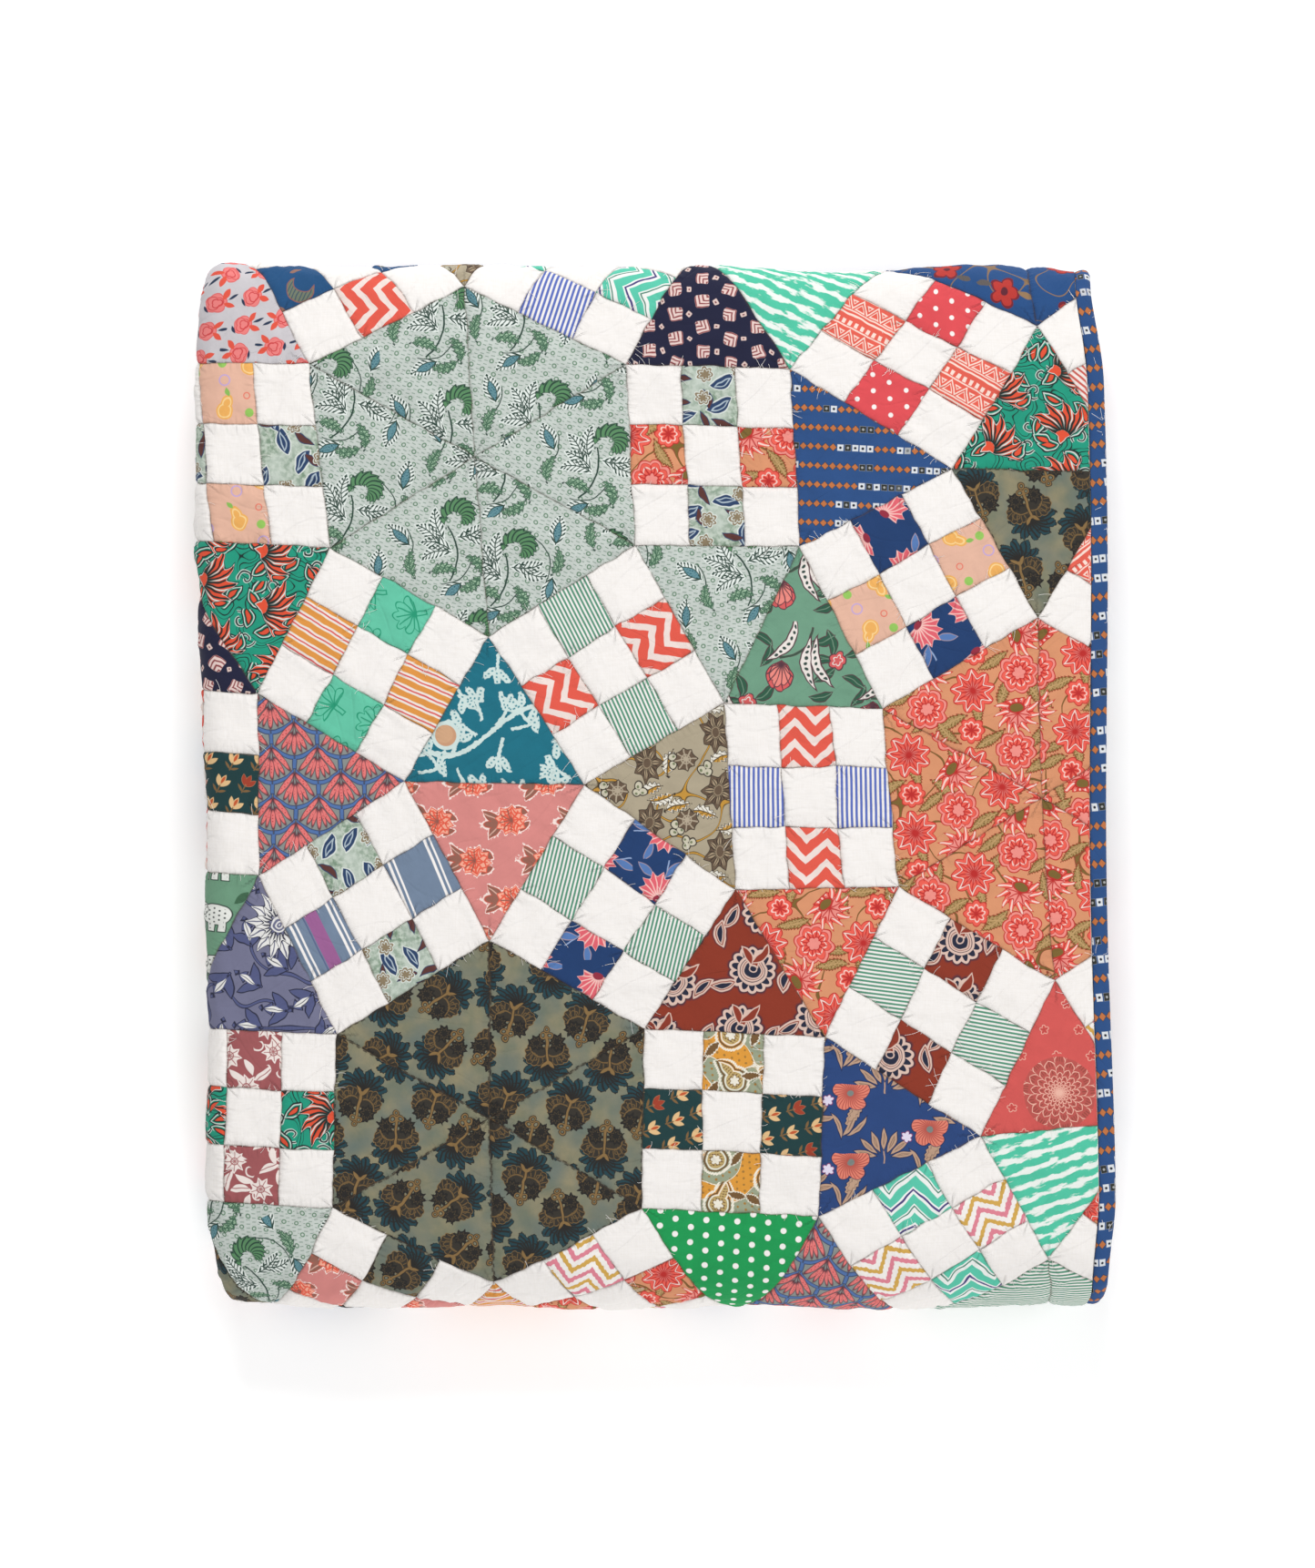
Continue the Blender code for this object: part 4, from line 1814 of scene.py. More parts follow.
def slate_floral(cloth):
    place = cloth.hand(0.9)
    big = place.moved(-15, 20).tiled(110, 100)
    web = (cloth.noise(cloth.flat, 32, 0.0) - 0.5) * 96
    ink, deep, white = (42, 44, 64), (86, 92, 132), (234, 233, 230)
    leaves = []
    for shift in ((0, 0), (18, 11)):
        spot = cloth.tossed(place.moved(*shift), 36, 31)
        shape = most(
            toothed(spot, 22, 8.0, 5.0, 1.0),
            leaf(bent(spot.at(-3, 5, 42), 0.02), 15, 5.0),
            leaf(bent(spot.at(-3, -5, -42), -0.02), 15, 5.0),
        )
        leaves.append((shape, leaf(spot, 13, 3.8), line(spot.y, 0.5)))
    shape, patch, rib = joined(*leaves)
    mum = petals(swirled(big, 0.006), 23, 13, 0.34, 0, True)
    inner = petals(swirled(big, 0.01), 15.5, 13, 0.34, 90, True)
    heart = petals(big, 7.5, 11, 0.3, 0, True)
    creases = spokes(swirled(big.turned(14), 0.006), 26, 0.8, 22)
    return cloth.printed(
        (120, 121, 148),
        *inked(line(web, 3.0), deep, ink, 0.9),
        *inked(shape, deep, ink, 0.8),
        (patch, white),
        (least(rib, patch + 0.4), ink),
        *inked(mum, white, ink, 0.9),
        (least(creases, mum - 1), (96, 98, 124)),
        *inked(inner, white, ink, 0.9),
        (least(spokes(big, 26, 0.9, 14), inner - 1), ink),
        *inked(heart, (110, 112, 140), ink, 0.8),
        (least(stripes(big.reach(), 2.4, 1.0), disc(big, 5.5)), white),
    )


def green_elephants(cloth):
    spot = cloth.hand(0.5).tiled(42, 34)
    legs = least(box(spot.at(0, -7), 15, 8), 2.2 - folded(spot.x + 2.5, 7))
    trunk = least(line(spot.at(-16, -3).reach() - 5, 2.4), box(spot.at(-12, -6), 9, 12))
    body = most(oval(spot, 10, 6.5), disc(spot.at(-9, 2), 5.0), legs, trunk)
    freckles = cloth.flat.tiled(3.0, 3.0)
    ink = (60, 66, 64)
    return cloth.printed(
        (112, 156, 128),
        (body + 0.7, (48, 66, 58)),
        (body, (232, 234, 228)),
        (least(disc(freckles, 0.6), body - 1.2), ink),
        (line(disc(spot.at(-7.5, 2.5), 3.2), 0.6), ink),
        (leaf(spot.at(16, 12, 40), 12, 5), (66, 104, 78)),
    )


def grey_fans(cloth):
    place = cloth.hand(0.4)
    ground, blue, coral, ink = (142, 147, 144), (84, 116, 170), (232, 124, 122), (92, 52, 62)
    fans, swags, stems = [], [], []
    for shift in ((0, 0), (15.3, 16.5)):
        spot = place.moved(*shift).tiled(30.6, 33.0, 0.0)
        both = spot.mirrored()
        fans.append(most(
            oval(spot.at(0, -3.6, 90), 5.4, 1.3),
            oval(both.at(2.9, -2.6, -73), 4.8, 0.95),
            oval(both.at(4.9, -1.4, -60), 5.2, 1.15),
            oval(both.at(6.3, 3.0, -51), 8.0, 1.5),
        ))
        stems.append(least(line(both.x - (10.4 - spot.y) * 0.16, 0.6), 4.6 - abs(spot.y - 5.6)))
        arc = line((spot.y + 12.4 - spot.x * spot.x * 0.0367) * 0.9, 1.9)
        arc = least(arc, 14.6 - both.x, both.x - 0.5)
        swags.append(most(arc, box(Place(spot.x, abs(spot.y) - 16.5), 2.1, 6.2)))
    fan, swag = most(*fans), most(*swags)
    dots = least(disc(place.tiled(2.1, 1.9), 0.45), fan - 0.5)
    return cloth.printed(
        ground,
        *inked(swag, blue, (50, 60, 92), 0.5),
        (most(*stems), ink),
        *inked(fan, coral, ink, 0.45),
        (dots, (190, 72, 78)),
    )


def coral_dahlia(cloth):
    place = cloth.hand(0.5)
    big = place.tiled(92, 84)
    star = place.moved(9, 4).tiled(21, 19)
    pale, brown, coral = (240, 186, 168), (150, 76, 66), (216, 92, 88)
    reach = big.reach()
    grown = worked("LOGARITHM", reach + 1.0, 2.718)
    cell = Place(big.angle() * (17 / 2 / pi), grown * 3.3).tiled(1.0, 1.0)
    size = reach * 0.33
    x, y = (cell.y + 0.28) * size, cell.x * size
    scale = (size * 0.5 - abs(y)) - worked("DIVIDE", x * abs(x) * 1.2, size)
    inside = disc(big, 24)
    far = reach - 26
    veins = least(stripes(y, 1.5, 0.6), scale - 0.8, x + 0.2)
    return cloth.printed(
        coral,
        (inside, (188, 88, 82)),
        (least(line(scale, 0.75), inside), pale),
        (least(veins, inside), brown),
        (disc(big, 1.8), pale),
        (least(line(petals(star, 3.2, 5, 0.4), 0.6), far), pale),
        (least(spokes(star, 5, 0.5, 3), far), (190, 70, 66)),
    )


def blue_botanical(cloth):
    place = cloth.hand(0.6)
    palm = place.tiled(52, 46)
    grass = place.moved(26, 4).tiled(52, 46)
    tan, ink = (190, 156, 132), (34, 46, 84)
    both = palm.mirrored()
    blade_at = ((0, 14, 90), (5.5, 12, 66), (10, 9, 42), (12.5, 4, 14))
    blades = [leaf(both.at(*at), 15, 3.8) for at in blade_at]
    stalk = least(line(palm.x, 0.9), box(palm.at(0, 4), 4, 12))
    tuft_at = bent_places(grass, (-4, -4, 112, 0.02), (4, -4, 64, 0.02), (9, -6, 42, 0.02))
    tuft = [leaf(f, 18, 3.2) for f in tuft_at]
    fern = toothed(palm.at(-20, -16, 55), 18, 8, 3.4, 0.6)
    bloom_at = grass.at(4, 17)
    bloom = petals(swirled(bloom_at, 0.04), 12.5, 5, 0.3, 18)
    spark = grass.at(-11, 12, 20)
    cup = petals(spark, 3.6, 6, 0.4)
    plants = most(*blades, *tuft, fern)
    return cloth.printed(
        (44, 72, 126),
        (stalk, tan),
        *inked(plants, tan, ink, 0.6),
        (least(line(plants - 1.4, 0.35), plants), (120, 96, 84)),
        *inked(bloom, (228, 132, 112), ink, 0.6),
        (least(spokes(swirled(bloom_at, 0.04), 30, 0.5, 12), bloom), (168, 72, 66)),
        (disc(bloom_at, 2.2), (124, 132, 128)),
        *inked(cup, (226, 218, 238), (140, 60, 110), 0.6),
    )


def green_marble(cloth):
    place = cloth.hand(0.9)
    ground = cloth.mottled((126, 150, 128), (192, 204, 190), 3.4, 4.0, 5.0)
    ground = cloth.mixed(cloth.noise(cloth.flat.moved(4, 40), 18) * 1.8 - 0.6, ground, (200, 210, 200))
    navy, maroon, white = (46, 68, 104), (94, 56, 52), (222, 228, 222)
    motifs = []
    for shift in ((0, 0), (15, 4)):
        spot = cloth.tossed(place.moved(*shift), 30, 34)
        motifs.append((
            leaf(bent(spot.at(3, 3, 30), 0.02), 18, 8.0),
            leaf(spot.at(3, 3, 30), 12, 3.0),
            leaf(bent(spot.at(-6, -8, 110), 0.03), 14, 3.8),
            petals(spot.at(-9, 8), 5.4, 7, 0.3),
        ))
    blade, core, twig, rose = joined(*motifs)
    return cloth.printed(
        ground,
        (blade + 0.9, white),
        (blade, navy),
        (least(line(core, 0.8), blade), (180, 196, 206)),
        *inked(twig, maroon, navy, 0.6),
        (rose + 0.7, white),
        (rose, (142, 126, 100)),
        (line(rose - 1.6, 0.7), white),
    )


def blue_vine(cloth):
    spot = cloth.tossed(cloth.hand(0.6), 30, 34, 3.0)
    blade = least(disc(spot.at(0, 4), 9), spot.at(0, -2).reach() - 8)
    return cloth.printed(
        (36, 82, 128),
        (blade + 0.7, (150, 98, 88)),
        (blade, (112, 122, 104)),
        (least(stripes(spot.x, 2.4, 0.7), blade), (64, 84, 100)),
        (leaf(spot.at(9, -8, 60), 10, 3), (150, 110, 96)),
    )


def peach_fruit(cloth):
    """A plain fruit and dot print, in the colours of the cloth that it stands for."""
    spot = cloth.tossed(cloth.hand(0.6), 34, 31)
    pear = most(disc(spot.at(-3, 0), 5.6), oval(spot.at(2.5, 0), 5.5, 3.6))
    spare = cloth.flat.moved(15, 6).tiled(34, 31)
    return cloth.printed(
        (233, 186, 163),
        (pear, (240, 178, 96)),
        (line(pear - 1.4, 0.8), (250, 214, 150)),
        (leaf(spot.at(9.5, 1.5, 30), 6, 2.8), (140, 190, 92)),
        (disc(spare, 2.9), (150, 200, 96)),
        (line(disc(spare.at(8, -8), 3.4), 0.9), (196, 168, 214)),
        (line(disc(spare.at(-8, 8), 2.0), 0.7), (232, 118, 100)),
    )


def mint_outline(cloth):
    spot = cloth.tossed(cloth.hand(0.6), 29, 31, 1.6, 0.8)
    bloom = least(petals(spot.at(0, -3), 12.5, 9, 0.3), spot.y + 6)
    stalk = least(line(spot.x, 2.6), box(spot.at(0, -9), 6, 9))
    green = (38, 152, 116)
    return cloth.printed(
        (104, 202, 170),
        (line(bloom, 0.9), green),
        (least(spokes(spot.at(0, -5), 13, 0.8, 12), bloom), green),
        (line(stalk, 0.8), green),
    )


def mustard_paisley(cloth):
    place = cloth.hand(0.6)
    spot = cloth.tossed(place, 34, 30, 1.6)
    seed = place.moved(3, 2).tiled(4.6, 4.2)
    sprig = cloth.tossed(place.moved(17, 4), 34, 30)
    sides = cloth.noise(cloth.flat, 24, 0.0) - 0.5
    ground = cloth.mixed(ramp(sides, 22.0, 0.5), (224, 156, 62), (156, 164, 138))
    cream, brown = (240, 234, 218), (120, 90, 56)
    drop = most(disc(spot, 7.0), leaf(bent(spot.at(7, 4, 35), 0.03), 17, 7))
    leaves = [toothed(sprig.at(*at), 13, 5.5, 2.0, 0.7) for at in ((4, 3, 40), (-5, -4, 200))]
    leaves = most(*leaves)
    lattice = least(stripes(spot.x + spot.y, 2.6, 1.0), stripes(spot.x - spot.y, 2.6, 1.8))
    return cloth.printed(
        ground,
        (least(disc(seed, 0.8), 0 - drop - 4, 0 - leaves - 1), (166, 122, 58)),
        (line(sides * 110, 2.4) - folded(place.x + place.y, 1.9) * 0.7, cream),
        (line(drop + 2.6, 2.4) - folded(place.x - place.y, 2.1) * 0.7, cream),
        (line(drop + 0.6, 1.2), brown),
        (line(drop - 0.8, 0.9), cream),
        (drop - 1.4, (196, 170, 112)),
        (least(lattice, drop - 1.8), brown),
        *inked(petals(spot, 3.4, 6, 0.4), cream, brown, 0.5),
        *inked(leaves, brown, cream, 0.7),
    )


def dark_tulips(cloth):
    spot, column, row = cloth.hand(0.3).repeated(14.5, 17.0)
    red = (cloth.dice(column, row) - 0.5) * 30
    both = spot.mirrored()
    cup = most(leaf(both.at(2.6, 1.2, 58), 8.0, 3.2), leaf(spot.at(0, 2.4, 90), 8.0, 3.2))
    stalk = least(line(spot.x, 0.8), box(spot.at(0, -4), 4, 6))
    sprout = most(leaf(both.at(2.4, -4.6, 35), 6, 1.6), stalk)
    return cloth.printed(
        (32, 64, 66),
        (sprout, (128, 98, 62)),
        (cup, (228, 190, 138)),
        (least(cup, red), (164, 66, 46)),
        (least(leaf(spot.at(0, 2.4, 90), 6.0, 2.0), 0 - red), (196, 92, 52)),
    )


def navy_floral(cloth):
    spot = cloth.tossed(cloth.hand(0.5), 37, 35)
    bloom = least(petals(spot.at(-2, -3), 12.5, 11, 0.28, 0, True), spot.y + 8)
    leaves = most(leaf(spot.at(10, 10, 35), 14, 4.4), leaf(spot.at(-8, 12, 130), 13, 4.2))
    twig = least(line(spot.x - spot.y * 0.4 - 2, 0.9), box(spot.at(4, 9), 20, 14))
    return cloth.printed(
        (34, 64, 112),
        (twig, (150, 172, 210)),
        (leaves + 0.5, (170, 150, 160)),
        (leaves, (88, 124, 182)),
        (bloom + 0.5, (246, 190, 182)),
        (bloom, (226, 100, 112)),
        (least(spokes(spot.at(-2, -8), 20, 0.7, 16), bloom), (250, 204, 196)),
        (oval(spot.at(-2, -8), 3.6, 2.2), (150, 48, 66)),
    )


def maroon_leaf(cloth):
    place = cloth.hand(0.6)
    white, ground = (240, 228, 222), (164, 92, 94)
    fields = []
    for shift in ((0, 0), (16, 3)):
        spot = cloth.tossed(place.moved(*shift), 32, 33)
        head = spot.at(-3, -2)
        long, short = bent_places(spot, (9, 4, 30, 0.03), (1, 11, 110, 0.03))
        leaves = most(leaf(long, 15, 5.0), leaf(short, 13, 4.6))
        curl = least(line(spot.at(8, -9).reach() - 3.4, 1.0), disc(spot.at(10, -7), 4.6))
        rib = least(line(spot.at(9, 4, 30).y, 0.6), disc(spot.at(9, 4), 6))
        marks = most(line(disc(head, 2.4), 0.7), spokes(head, 8, 0.5, 6.5), rib)
        fields.append((most(petals(head, 8.2, 8, 0.34, 0, True), leaves, curl), marks))
    shapes, marks = joined(*fields)
    return cloth.printed(ground, (shapes, white), (least(marks, shapes), ground))


def coral_tribal(cloth):
    place = cloth.hand(0.5)
    band = place.y - rounded(place.y * (1 / 22)) * 22
    pale, coral = (250, 224, 212), (234, 100, 84)
    slope = folded(place.x, 10.5) * 1.5
    wave = band + slope - 4.0
    inner = least(band + slope - 7.0, 2.6 - band)
    outer = least(1.6 - band - slope, band + 4.2)
    blocks = least(most(inner, outer), 4.6 - abs(band))
    beads = least(line(band - 8.4, 3.4), 1.8 - folded(place.x, 4.4) * 1.6)
    return cloth.printed(
        coral,
        (least(line(wave, 1.5), 5.0 - abs(band)), pale),
        (blocks, pale),
        (blocks - 0.9, coral),
        (beads, pale),
        (most(line(band - 5.6, 0.9), line(band + 5.4, 0.9), line(band + 8.0, 1.3)), pale),
    )


PRINTS = {
    "white_muslin": white_muslin,
    "green_ticking": ticking((84, 148, 120), 2.6),
    "blue_ticking": ticking((92, 112, 190), 3.2),
    "red_stripe": red_stripe,
    "orange_stripe": orange_stripe,
    "wide_blue_stripe": wide_blue_stripe,
    "red_chevron": red_chevron,
    "pastel_zigzag": pastel_zigzag,
    "aqua_waves": aqua_waves,
    "mint_brush": mint_brush,
    "navy_geo": navy_geo,
    "blue_diamonds": blue_diamonds,
    "green_dots": dotted((30, 158, 86), 10.2, 2.0),
    "coral_dots": dotted((228, 82, 88), 10.8, 1.6),
    "sage_sprig": sage_sprig,
    "olive_floral": olive_floral,
    "orange_floral": orange_floral,
    "blue_red_vine": blue_red_vine,
    "teal_coral": teal_coral,
    "pink_buti": pink_buti,
    "teal_scroll": teal_scroll,
    "pink_poppy": pink_poppy,
    "olive_vine": olive_vine,
    "dusty_sage_floral": dusty_sage_floral,
    "rust_paisley": rust_paisley,
    "slate_floral": slate_floral,
    "green_elephants": green_elephants,
    "grey_fans": grey_fans,
    "coral_dahlia": coral_dahlia,
    "blue_botanical": blue_botanical,
    "green_marble": green_marble,
    "blue_vine": blue_vine,
    "peach_fruit": peach_fruit,
    "mint_outline": mint_outline,
    "mustard_paisley": mustard_paisley,
    "dark_tulips": dark_tulips,
    "navy_floral": navy_floral,
    "maroon_leaf": maroon_leaf,
    "coral_tribal": coral_tribal,
    "binding_print": binding_print,
}


# The cottons whose patches are sewn with dark stitches that show, in millimetres
STITCHED = ("olive_floral",)
STITCH_INSET = 0.55
STITCH_WIDTH = 0.8
STITCH_PITCH = 5.2
STITCH_LENGTH = 2.6
STITCH_COLOUR = (44, 44, 42)
# The colour of the painted shade that darkens the cloth along its seams' grooves
SEAM_PAINTED_SHADE = (94, 76, 62)

# The weave: its threads' width and run, and the sizes of rumples, crumples and puckers
WEAVE_THREAD = 0.45
WEAVE_RUN = 9.0
RUMPLE_SIZE = 9.0
CRUMPLE_SIZE = 20.0
CRUMPLE_CREST = 0.04
PUCKER_SIZE = 2.6

# How high each of them stands in the material's bump, and the bump itself in metres
WEAVE_BUMP, RUMPLE_BUMP, CRUMPLE_BUMP, PUCKER_BUMP = 0.06, 1.2, 10.0, 2.2
BUMP = {"Strength": 0.6, "Distance": 0.001}
COTTON = {
    "Roughness": 0.93,
    "Specular IOR Level": 0.2,
    "Sheen Weight": 0.05,
    "Sheen Roughness": 0.6,
}


def set_inputs(node, values):
    for name, value in values.items():
        node.inputs[name].default_value = value


def seam_marks(cloth, name, colour):
    """The colour with stitches, where they show, and with painted shade along the seams, darkest at
    them.
    """
    if name in STITCHED:
        stitch = line(cloth.seam.x - STITCH_INSET, STITCH_WIDTH)
        stitch = least(stitch, stripes(cloth.seam.y, STITCH_PITCH, STITCH_LENGTH))
        colour = cloth.mixed(ramp(stitch, 2.0, 0.5) * 0.8, colour, STITCH_COLOUR)
    uneven = cloth.noise(cloth.seam.moved(3, 8), 5.0, 2.0)
    # Painted shade: the colour darkens towards each seam by an uneven amount, where the groove's shadow
    # would fall
    shade = ramp(cloth.seam.x, -0.85, uneven * 1.5 - 0.05)
    return cloth.mixed(shade * SEAM_SHADE, colour, SEAM_PAINTED_SHADE)


def weave_height(cloth):
    """How the threads, rumples, sharp crumples and the puckers at seams stand up."""
    warp = cloth.noise(cloth.flat, WEAVE_THREAD, 1.0, WEAVE_RUN)
    weft = cloth.noise(cloth.flat.turned(90), WEAVE_THREAD, 1.0, WEAVE_RUN)
    rumple = cloth.noise(cloth.flat.moved(5, 9), RUMPLE_SIZE, 2.0)
    crumple = abs(cloth.noise(cloth.flat.turned(35), CRUMPLE_SIZE, 0.0, 3.0) - 0.5)
    crumple = least(crumple, CRUMPLE_CREST)
    fade = ramp(cloth.seam.x, -0.13, 1.0)
    pucker = cloth.noise(Place(cloth.seam.y, cloth.seam.x * 0.22), PUCKER_SIZE, 1.0) * fade
    height = (warp + weft) * WEAVE_BUMP + rumple * RUMPLE_BUMP
    return height + crumple * CRUMPLE_BUMP + pucker * PUCKER_BUMP


def woven(name):
    """A cotton with its print, its weave, its crumples and the painted shade along its seams."""
    cloth = Cloth(name)
    colour = PRINTS[name](cloth)
    if name != "binding_print":
        colour = seam_marks(cloth, name, colour)
    cloth.tree.links.new(colour, cloth.shader.inputs["Base Color"])
    bump = cloth.tree.nodes.new("ShaderNodeBump")
    set_inputs(bump, BUMP)
    cloth.tree.links.new(weave_height(cloth).socket, bump.inputs["Height"])
    cloth.tree.links.new(bump.outputs[0], cloth.shader.inputs["Normal"])
    set_inputs(cloth.shader, COTTON)
    return cloth.material


# Which cotton each patch is cut from. Blocks are (down, right) from the one at the top left.
HEXAGON_CLOTHS = {
    (0, 0): "sage_sprig",
    (1, 0): "olive_floral",
    (0, 1): "orange_floral",
    (-1, 1): "blue_red_vine",
    (1, 1): "green_ticking",
}

# By block and direction in degrees
TRIANGLE_CLOTHS = {
    (0, 0): {
        30: "navy_geo",
        90: "olive_vine",
        150: "pink_poppy",
        210: "teal_scroll",
        270: "teal_coral",
        330: "sage_sprig",
    },
    (1, 0): {
        30: "rust_paisley",
        90: "pink_buti",
        150: "slate_floral",
        210: "sage_sprig",
        270: "orange_stripe",
        330: "green_dots",
    },
    (0, 1): {
        90: "olive_floral",
        150: "dusty_sage_floral",
        210: "orange_floral",
        270: "coral_dahlia",
    },
    (-1, 1): {210: "mint_brush", 270: "teal_scroll"},
    (1, -1): {30: "navy_geo", 330: "green_elephants"},
    (1, 1): {90: "mint_brush", 150: "grey_fans"},
}

# The triangles between three blocks, each by any one of them
GAP_CLOTHS = {
    ((0, 0), 0): "blue_diamonds",
    ((-1, 1), 240): "blue_diamonds",
    ((0, 1), 120): "blue_diamonds",
    ((0, 0), 300): "olive_vine",
    ((1, 0), 60): "olive_vine",
    ((0, 1), 180): "olive_vine",
    ((0, 0), 240): "grey_fans",
    ((1, 0), 120): "grey_fans",
    ((1, -1), 0): "grey_fans",
    ((1, 0), 0): "blue_botanical",
    ((0, 1), 240): "blue_botanical",
    ((1, 1), 120): "blue_botanical",
}

# Of a nine-patch, the two prints: that of the cells towards and away from the hexagon, and that
# of the cells beside them
NINE_PATCH_CLOTHS = {
    (0, 0): {
        0: ("orange_floral", "green_marble"),
        60: ("blue_ticking", "aqua_waves"),
        120: ("red_chevron", "blue_vine"),
        180: ("green_marble", "peach_fruit"),
        240: ("mint_outline", "orange_stripe"),
        300: ("green_ticking", "red_chevron"),
    },
    (1, 0): {
        0: ("dark_tulips", "mustard_paisley"),
        60: ("navy_floral", "green_ticking"),
        120: ("green_marble", "wide_blue_stripe"),
        180: ("teal_scroll", "maroon_leaf"),
        240: ("olive_floral", "pink_buti"),
        300: ("pastel_zigzag", "orange_floral"),
    },
    (0, 1): {
        60: ("green_marble", "coral_tribal"),
        120: ("navy_floral", "peach_fruit"),
        180: ("blue_ticking", "red_chevron"),
        240: ("rust_paisley", "green_ticking"),
        300: ("mustard_paisley", "pastel_zigzag"),
    },
    (-1, 1): {240: ("coral_dots", "coral_tribal"), 300: ("blue_vine", "red_stripe")},
    (1, -1): {0: ("dark_tulips", "red_chevron")},
    (1, 1): {60: ("blue_vine", "orange_floral"), 120: ("aqua_waves", "pastel_zigzag")},
}

# How far some prints are turned on their patches, in degrees. A hexagon's parts vary.
HEXAGON_TURNS = {(0, 0): (0, 0, 8), (1, 0): (0, 0, 40, -40), (0, 1): (0,), (-1, 1): (0, 60)}
TRIANGLE_TURNS = {
    ((-1, 1), 210): -25,
    ((1, 1), 90): 18,
    ((1, 0), 330): -3,
    ((0, 0), 30): 0,
    ((0, 0), 270): 0,
    ((1, 0), 150): 0,
    ((1, 0), 90): 0,
    ((0, 1), 150): 0,
}
CELL_TURNS = {
    ((0, 0), 60): (72, 60),
    ((0, 0), 120): (90, 20),
    ((0, 0), 240): (60, -28),
    ((0, 0), 300): (-65, -55),
    ((0, 1), 180): (90, 0),
    ((0, 1), 240): (0, -8),
    ((1, 0), 60): (0, 75),
    ((-1, 1), 240): (0, -28),
    ((1, 0), 120): (0, -66),
}

# Where on its cloth a patch is cut, in millimetres, for prints with a few large motifs
TRIANGLE_SHIFTS = {((1, 0), 150): (-30, -16), ((0, 1), 270): (4, 8), ((0, 0), 270): (0, 0)}
CELL_SHIFTS = {((1, 0), 120, 2): (0, 0), ((1, 0), 120, 0): (0, 30)}

# Cottons for the patches that the photo doesn't show
LARGE_PRINTS = (
    "sage_sprig",
    "olive_floral",
    "orange_floral",
    "blue_red_vine",
    "teal_coral",
    "pink_buti",
    "teal_scroll",
    "dusty_sage_floral",
    "slate_floral",
    "coral_dahlia",
    "blue_botanical",
    "olive_vine",
)
SMALL_PRINTS = (
    "green_ticking",
    "blue_ticking",
    "red_stripe",
    "orange_stripe",
    "red_chevron",
    "pastel_zigzag",
    "aqua_waves",
    "green_marble",
    "blue_vine",
    "navy_floral",
    "maroon_leaf",
    "coral_tribal",
    "mustard_paisley",
    "dark_tulips",
    "coral_dots",
)


# From how far apart patches are cut, in millimetres on the cloth
CUT_REACH = 200

# How far a patch's print is out of line by chance, in degrees
LARGE_SLANT = 6
CELL_SLANT = 4


def any_shift(dice):
    return dice.uniform(-CUT_REACH, CUT_REACH), dice.uniform(-CUT_REACH, CUT_REACH)


def lay_large(piece, dice, corners, cloth):
    """Adds a triangular patch with sides as long as the hexagon's."""
    lay_patch(piece, dice, corners, triangle_grid, CELLS, BIG_PUFF, BIG_PUFF_WIDTH, cloth)


def lay_hexagon_part(piece, dice, cloths, block, corners):
    spare = LARGE_PRINTS[(block[0] * 5 + block[1] * 3) % len(LARGE_PRINTS)]
    name = HEXAGON_CLOTHS.get(block, spare)
    turn = dice.choice(HEXAGON_TURNS.get(block, (0,))) + dice.uniform(-LARGE_SLANT, LARGE_SLANT)
    lay_large(piece, dice, corners, (cloths[name], turn, any_shift(dice)))


def lay_triangle(piece, dice, cloths, block, kind, angle, corners):
    spare = dice.choice(LARGE_PRINTS)
    turn = dice.uniform(-30, 30)
    shift = any_shift(dice)
    if kind == "gap":
        name = GAP_CLOTHS.get((block, angle % 360), spare)
        turn = turn * 0.1
    else:
        name = TRIANGLE_CLOTHS.get(block, {}).get(angle, spare)
        turn = TRIANGLE_TURNS.get((block, angle), turn)
        shift = TRIANGLE_SHIFTS.get((block, angle), shift)
    lay_large(piece, dice, corners, (cloths[name], turn, shift))


def lay_nine_patch(piece, dice, cloths, block, angle, corners):
    """Adds a nine-patch square's cells, and returns the plain ones' corners."""
    corners = np.array(corners)
    place = block, angle % 360
    spare = dice.sample(SMALL_PRINTS, 2)
    names = NINE_PATCH_CLOTHS.get(block, {}).get(angle % 360, spare)
    turns = CELL_TURNS.get(place, (dice.uniform(-90, 90), dice.uniform(-90, 90)))
    grid = {}
    for i in range(CELLS + 1):
        for j in range(CELLS + 1):
            grid[i, j] = point_between(corners, i / CELLS, j / CELLS)
            if 0 < i < CELLS and 0 < j < CELLS:
                grid[i, j] = grid[i, j] + jitter(dice, CELL_JITTER)
    plain = []
    for i in range(CELLS):
        for j in range(CELLS):
            cell = [grid[i, j], grid[i + 1, j], grid[i + 1, j + 1], grid[i, j + 1]]
            slant = dice.uniform(-CELL_SLANT, CELL_SLANT)
            if (i + j) % 2 == 0:
                plain.append(cell)
                name, turn = "white_muslin", slant
            else:
                side = 0 if i == 1 else 1
                name, turn = names[side], turns[side] + slant
            shift = CELL_SHIFTS.get((*place, i), any_shift(dice))
            cloth = (cloths[name], turn, shift)
            lay_patch(piece, dice, cell, square_grid, 1, CELL_PUFF, CELL_PUFF_WIDTH, cloth)
    return plain


def piece_name(group, block):
    """Such as hexagon_m1_2, with m for minus."""
    steps = [f"m{-step}" if step < 0 else str(step) for step in block]
    return "_".join([group, *steps])


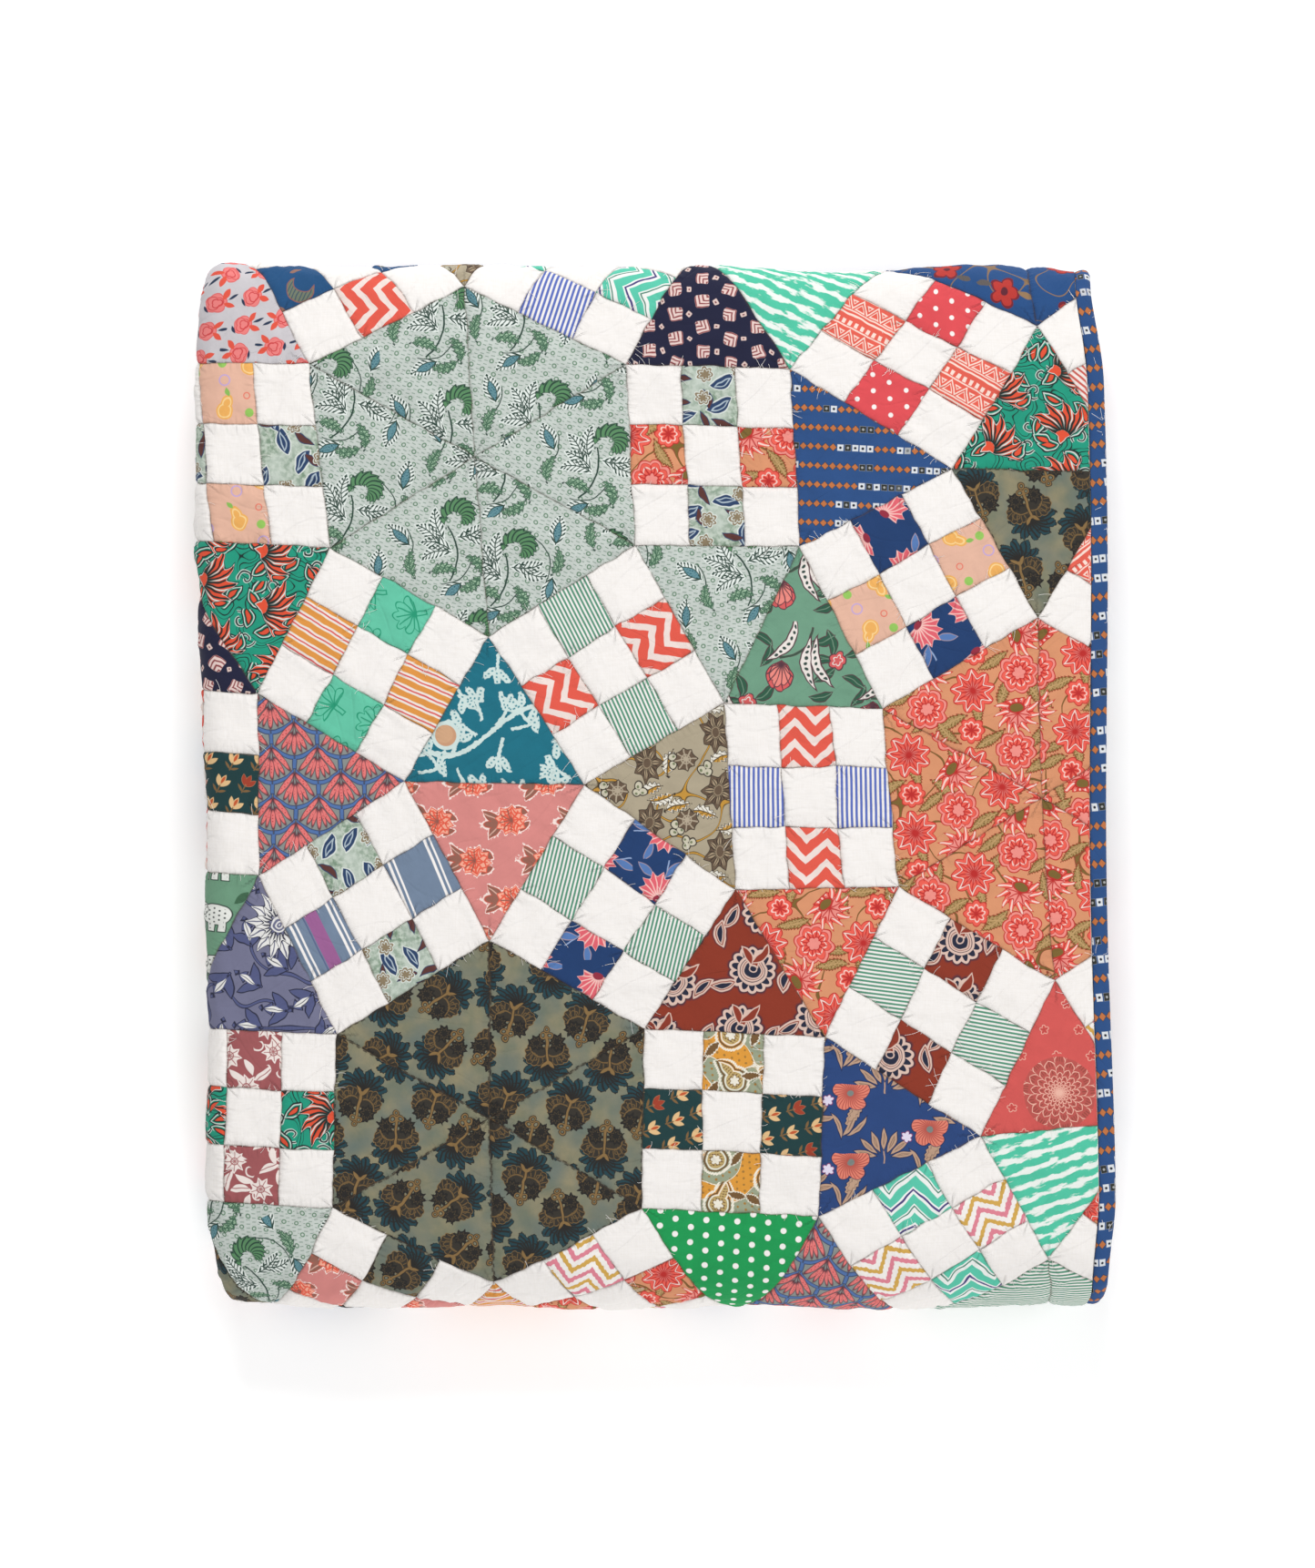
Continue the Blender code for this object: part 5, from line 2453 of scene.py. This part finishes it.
def make_patches(patchwork, cloths):
    """The quilt's face: pieces of hexagon parts, nine-patches and triangles for each block.

    Returns the corners of the plain cells too, whose cut edges fray.
    """
    dice = random.Random(21)
    made, plain = {}, []
    for block, kind, angle, corners in patchwork.patches():
        group = {"hexagon": "hexagon", "square": "nine_patches"}.get(kind, "triangles")
        name = piece_name(group, block)
        piece = made.setdefault(name, Piece(name))
        if kind == "hexagon":
            lay_hexagon_part(piece, dice, cloths, block, corners)
        elif kind == "square":
            plain += lay_nine_patch(piece, dice, cloths, block, angle, corners)
        else:
            lay_triangle(piece, dice, cloths, block, kind, angle, corners)
    return [piece.made() for piece in made.values() if piece.count], plain


# The studio: a pale floor that glows a little, a white world and three soft lights
FLOOR_REACH = 12.0
FLOOR = {
    "Base Color": (0.98, 0.98, 0.98, 1),
    "Roughness": 0.9,
    "Specular IOR Level": 0.1,
    "Emission Color": (1, 1, 1, 1),
    "Emission Strength": 0.2,
}
WORLD = {"Color": (1, 1, 1, 1), "Strength": 0.42}
LIGHT_SIZE = 1.1
LIGHTS = {
    "light_top": ((-0.2, 2.3, 1.9), 50),
    "light_bottom": ((0.2, -2.3, 1.9), 30),
    "light_right": ((2.4, 0.2, 1.9), 16),
}

# The camera's lens and its sensor's height, in millimetres
LENS = 135
SENSOR_HEIGHT = 36


def make_floor():
    material = bpy.data.materials.new("pale_floor")
    material.use_nodes = True
    set_inputs(material.node_tree.nodes["Principled BSDF"], FLOOR)
    corners = [(x * FLOOR_REACH, y * FLOOR_REACH, 0) for x, y in ((-1, -1), (1, -1), (1, 1), (-1, 1))]
    floor = added("floor", mesh_of("floor", corners, [(0, 1, 2, 3)], material))


def light_studio():
    """A white world, and soft square lights that face the pile's middle."""
    world = bpy.data.worlds.new("studio")
    world.use_nodes = True
    set_inputs(world.node_tree.nodes["Background"], WORLD)
    bpy.context.scene.world = world
    for name, (place, power) in LIGHTS.items():
        data = bpy.data.lights.new(name, "AREA")
        data.shape = "SQUARE"
        data.size = LIGHT_SIZE
        data.energy = power
        light = added(name, data)
        light.location = place
        light.rotation_euler = (-Vector(place)).to_track_quat("-Z", "Y").to_euler()


def place_camera():
    """Looks straight down, as the photo was taken, with the photo's top towards +Y."""
    data = bpy.data.cameras.new("camera")
    data.sensor_fit = "VERTICAL"
    data.sensor_height = SENSOR_HEIGHT
    data.sensor_width = SENSOR_HEIGHT * PHOTO_SIZE[0] / PHOTO_SIZE[1]
    data.lens = LENS
    x, y = photo_metres((PHOTO_SIZE[0] / 2, PHOTO_SIZE[1] / 2))
    high = PHOTO_SIZE[1] * METRES_PER_PIXEL
    camera = added("camera", data)
    camera.location = (x, y, TOP_HEIGHT + high * data.lens / data.sensor_height)
    bpy.context.scene.camera = camera


def main():
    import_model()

    cloths = {name: woven(name) for name in PRINTS}
    muslin, binding = cloths["white_muslin"], cloths["binding_print"]
    patchwork = Patchwork([(down, right) for down in BLOCKS_DOWN for right in BLOCKS_RIGHT])
    patches, plain_cells = make_patches(patchwork, cloths)
    patches.append(make_threads(plain_cells, muslin))
    body = make_quilted_body(muslin)
    edges = {
        "side_binding_upper": make_side_binding("binding_upper", 31, 0.0, 1, binding),
        "side_binding_lower": make_side_binding("binding_lower", 32, ACROSS.length, -1, binding),
        "end_binding_bottom": make_end_binding("binding_bottom", 33, 0.0, 1, binding),
        "end_binding_middle": make_end_binding("binding_middle", 34, ALONG.length, -1, binding),
    }
    for made in (body, *patches, *edges.values()):
        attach(made, "root")
    for made in (body, *patches):
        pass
    for node, made in edges.items():
        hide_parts(node)
    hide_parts("quilt_cloth")
    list(patches)

    make_floor()
    light_studio()
    place_camera()
    bpy.context.scene.view_settings.view_transform = "Standard"


main()
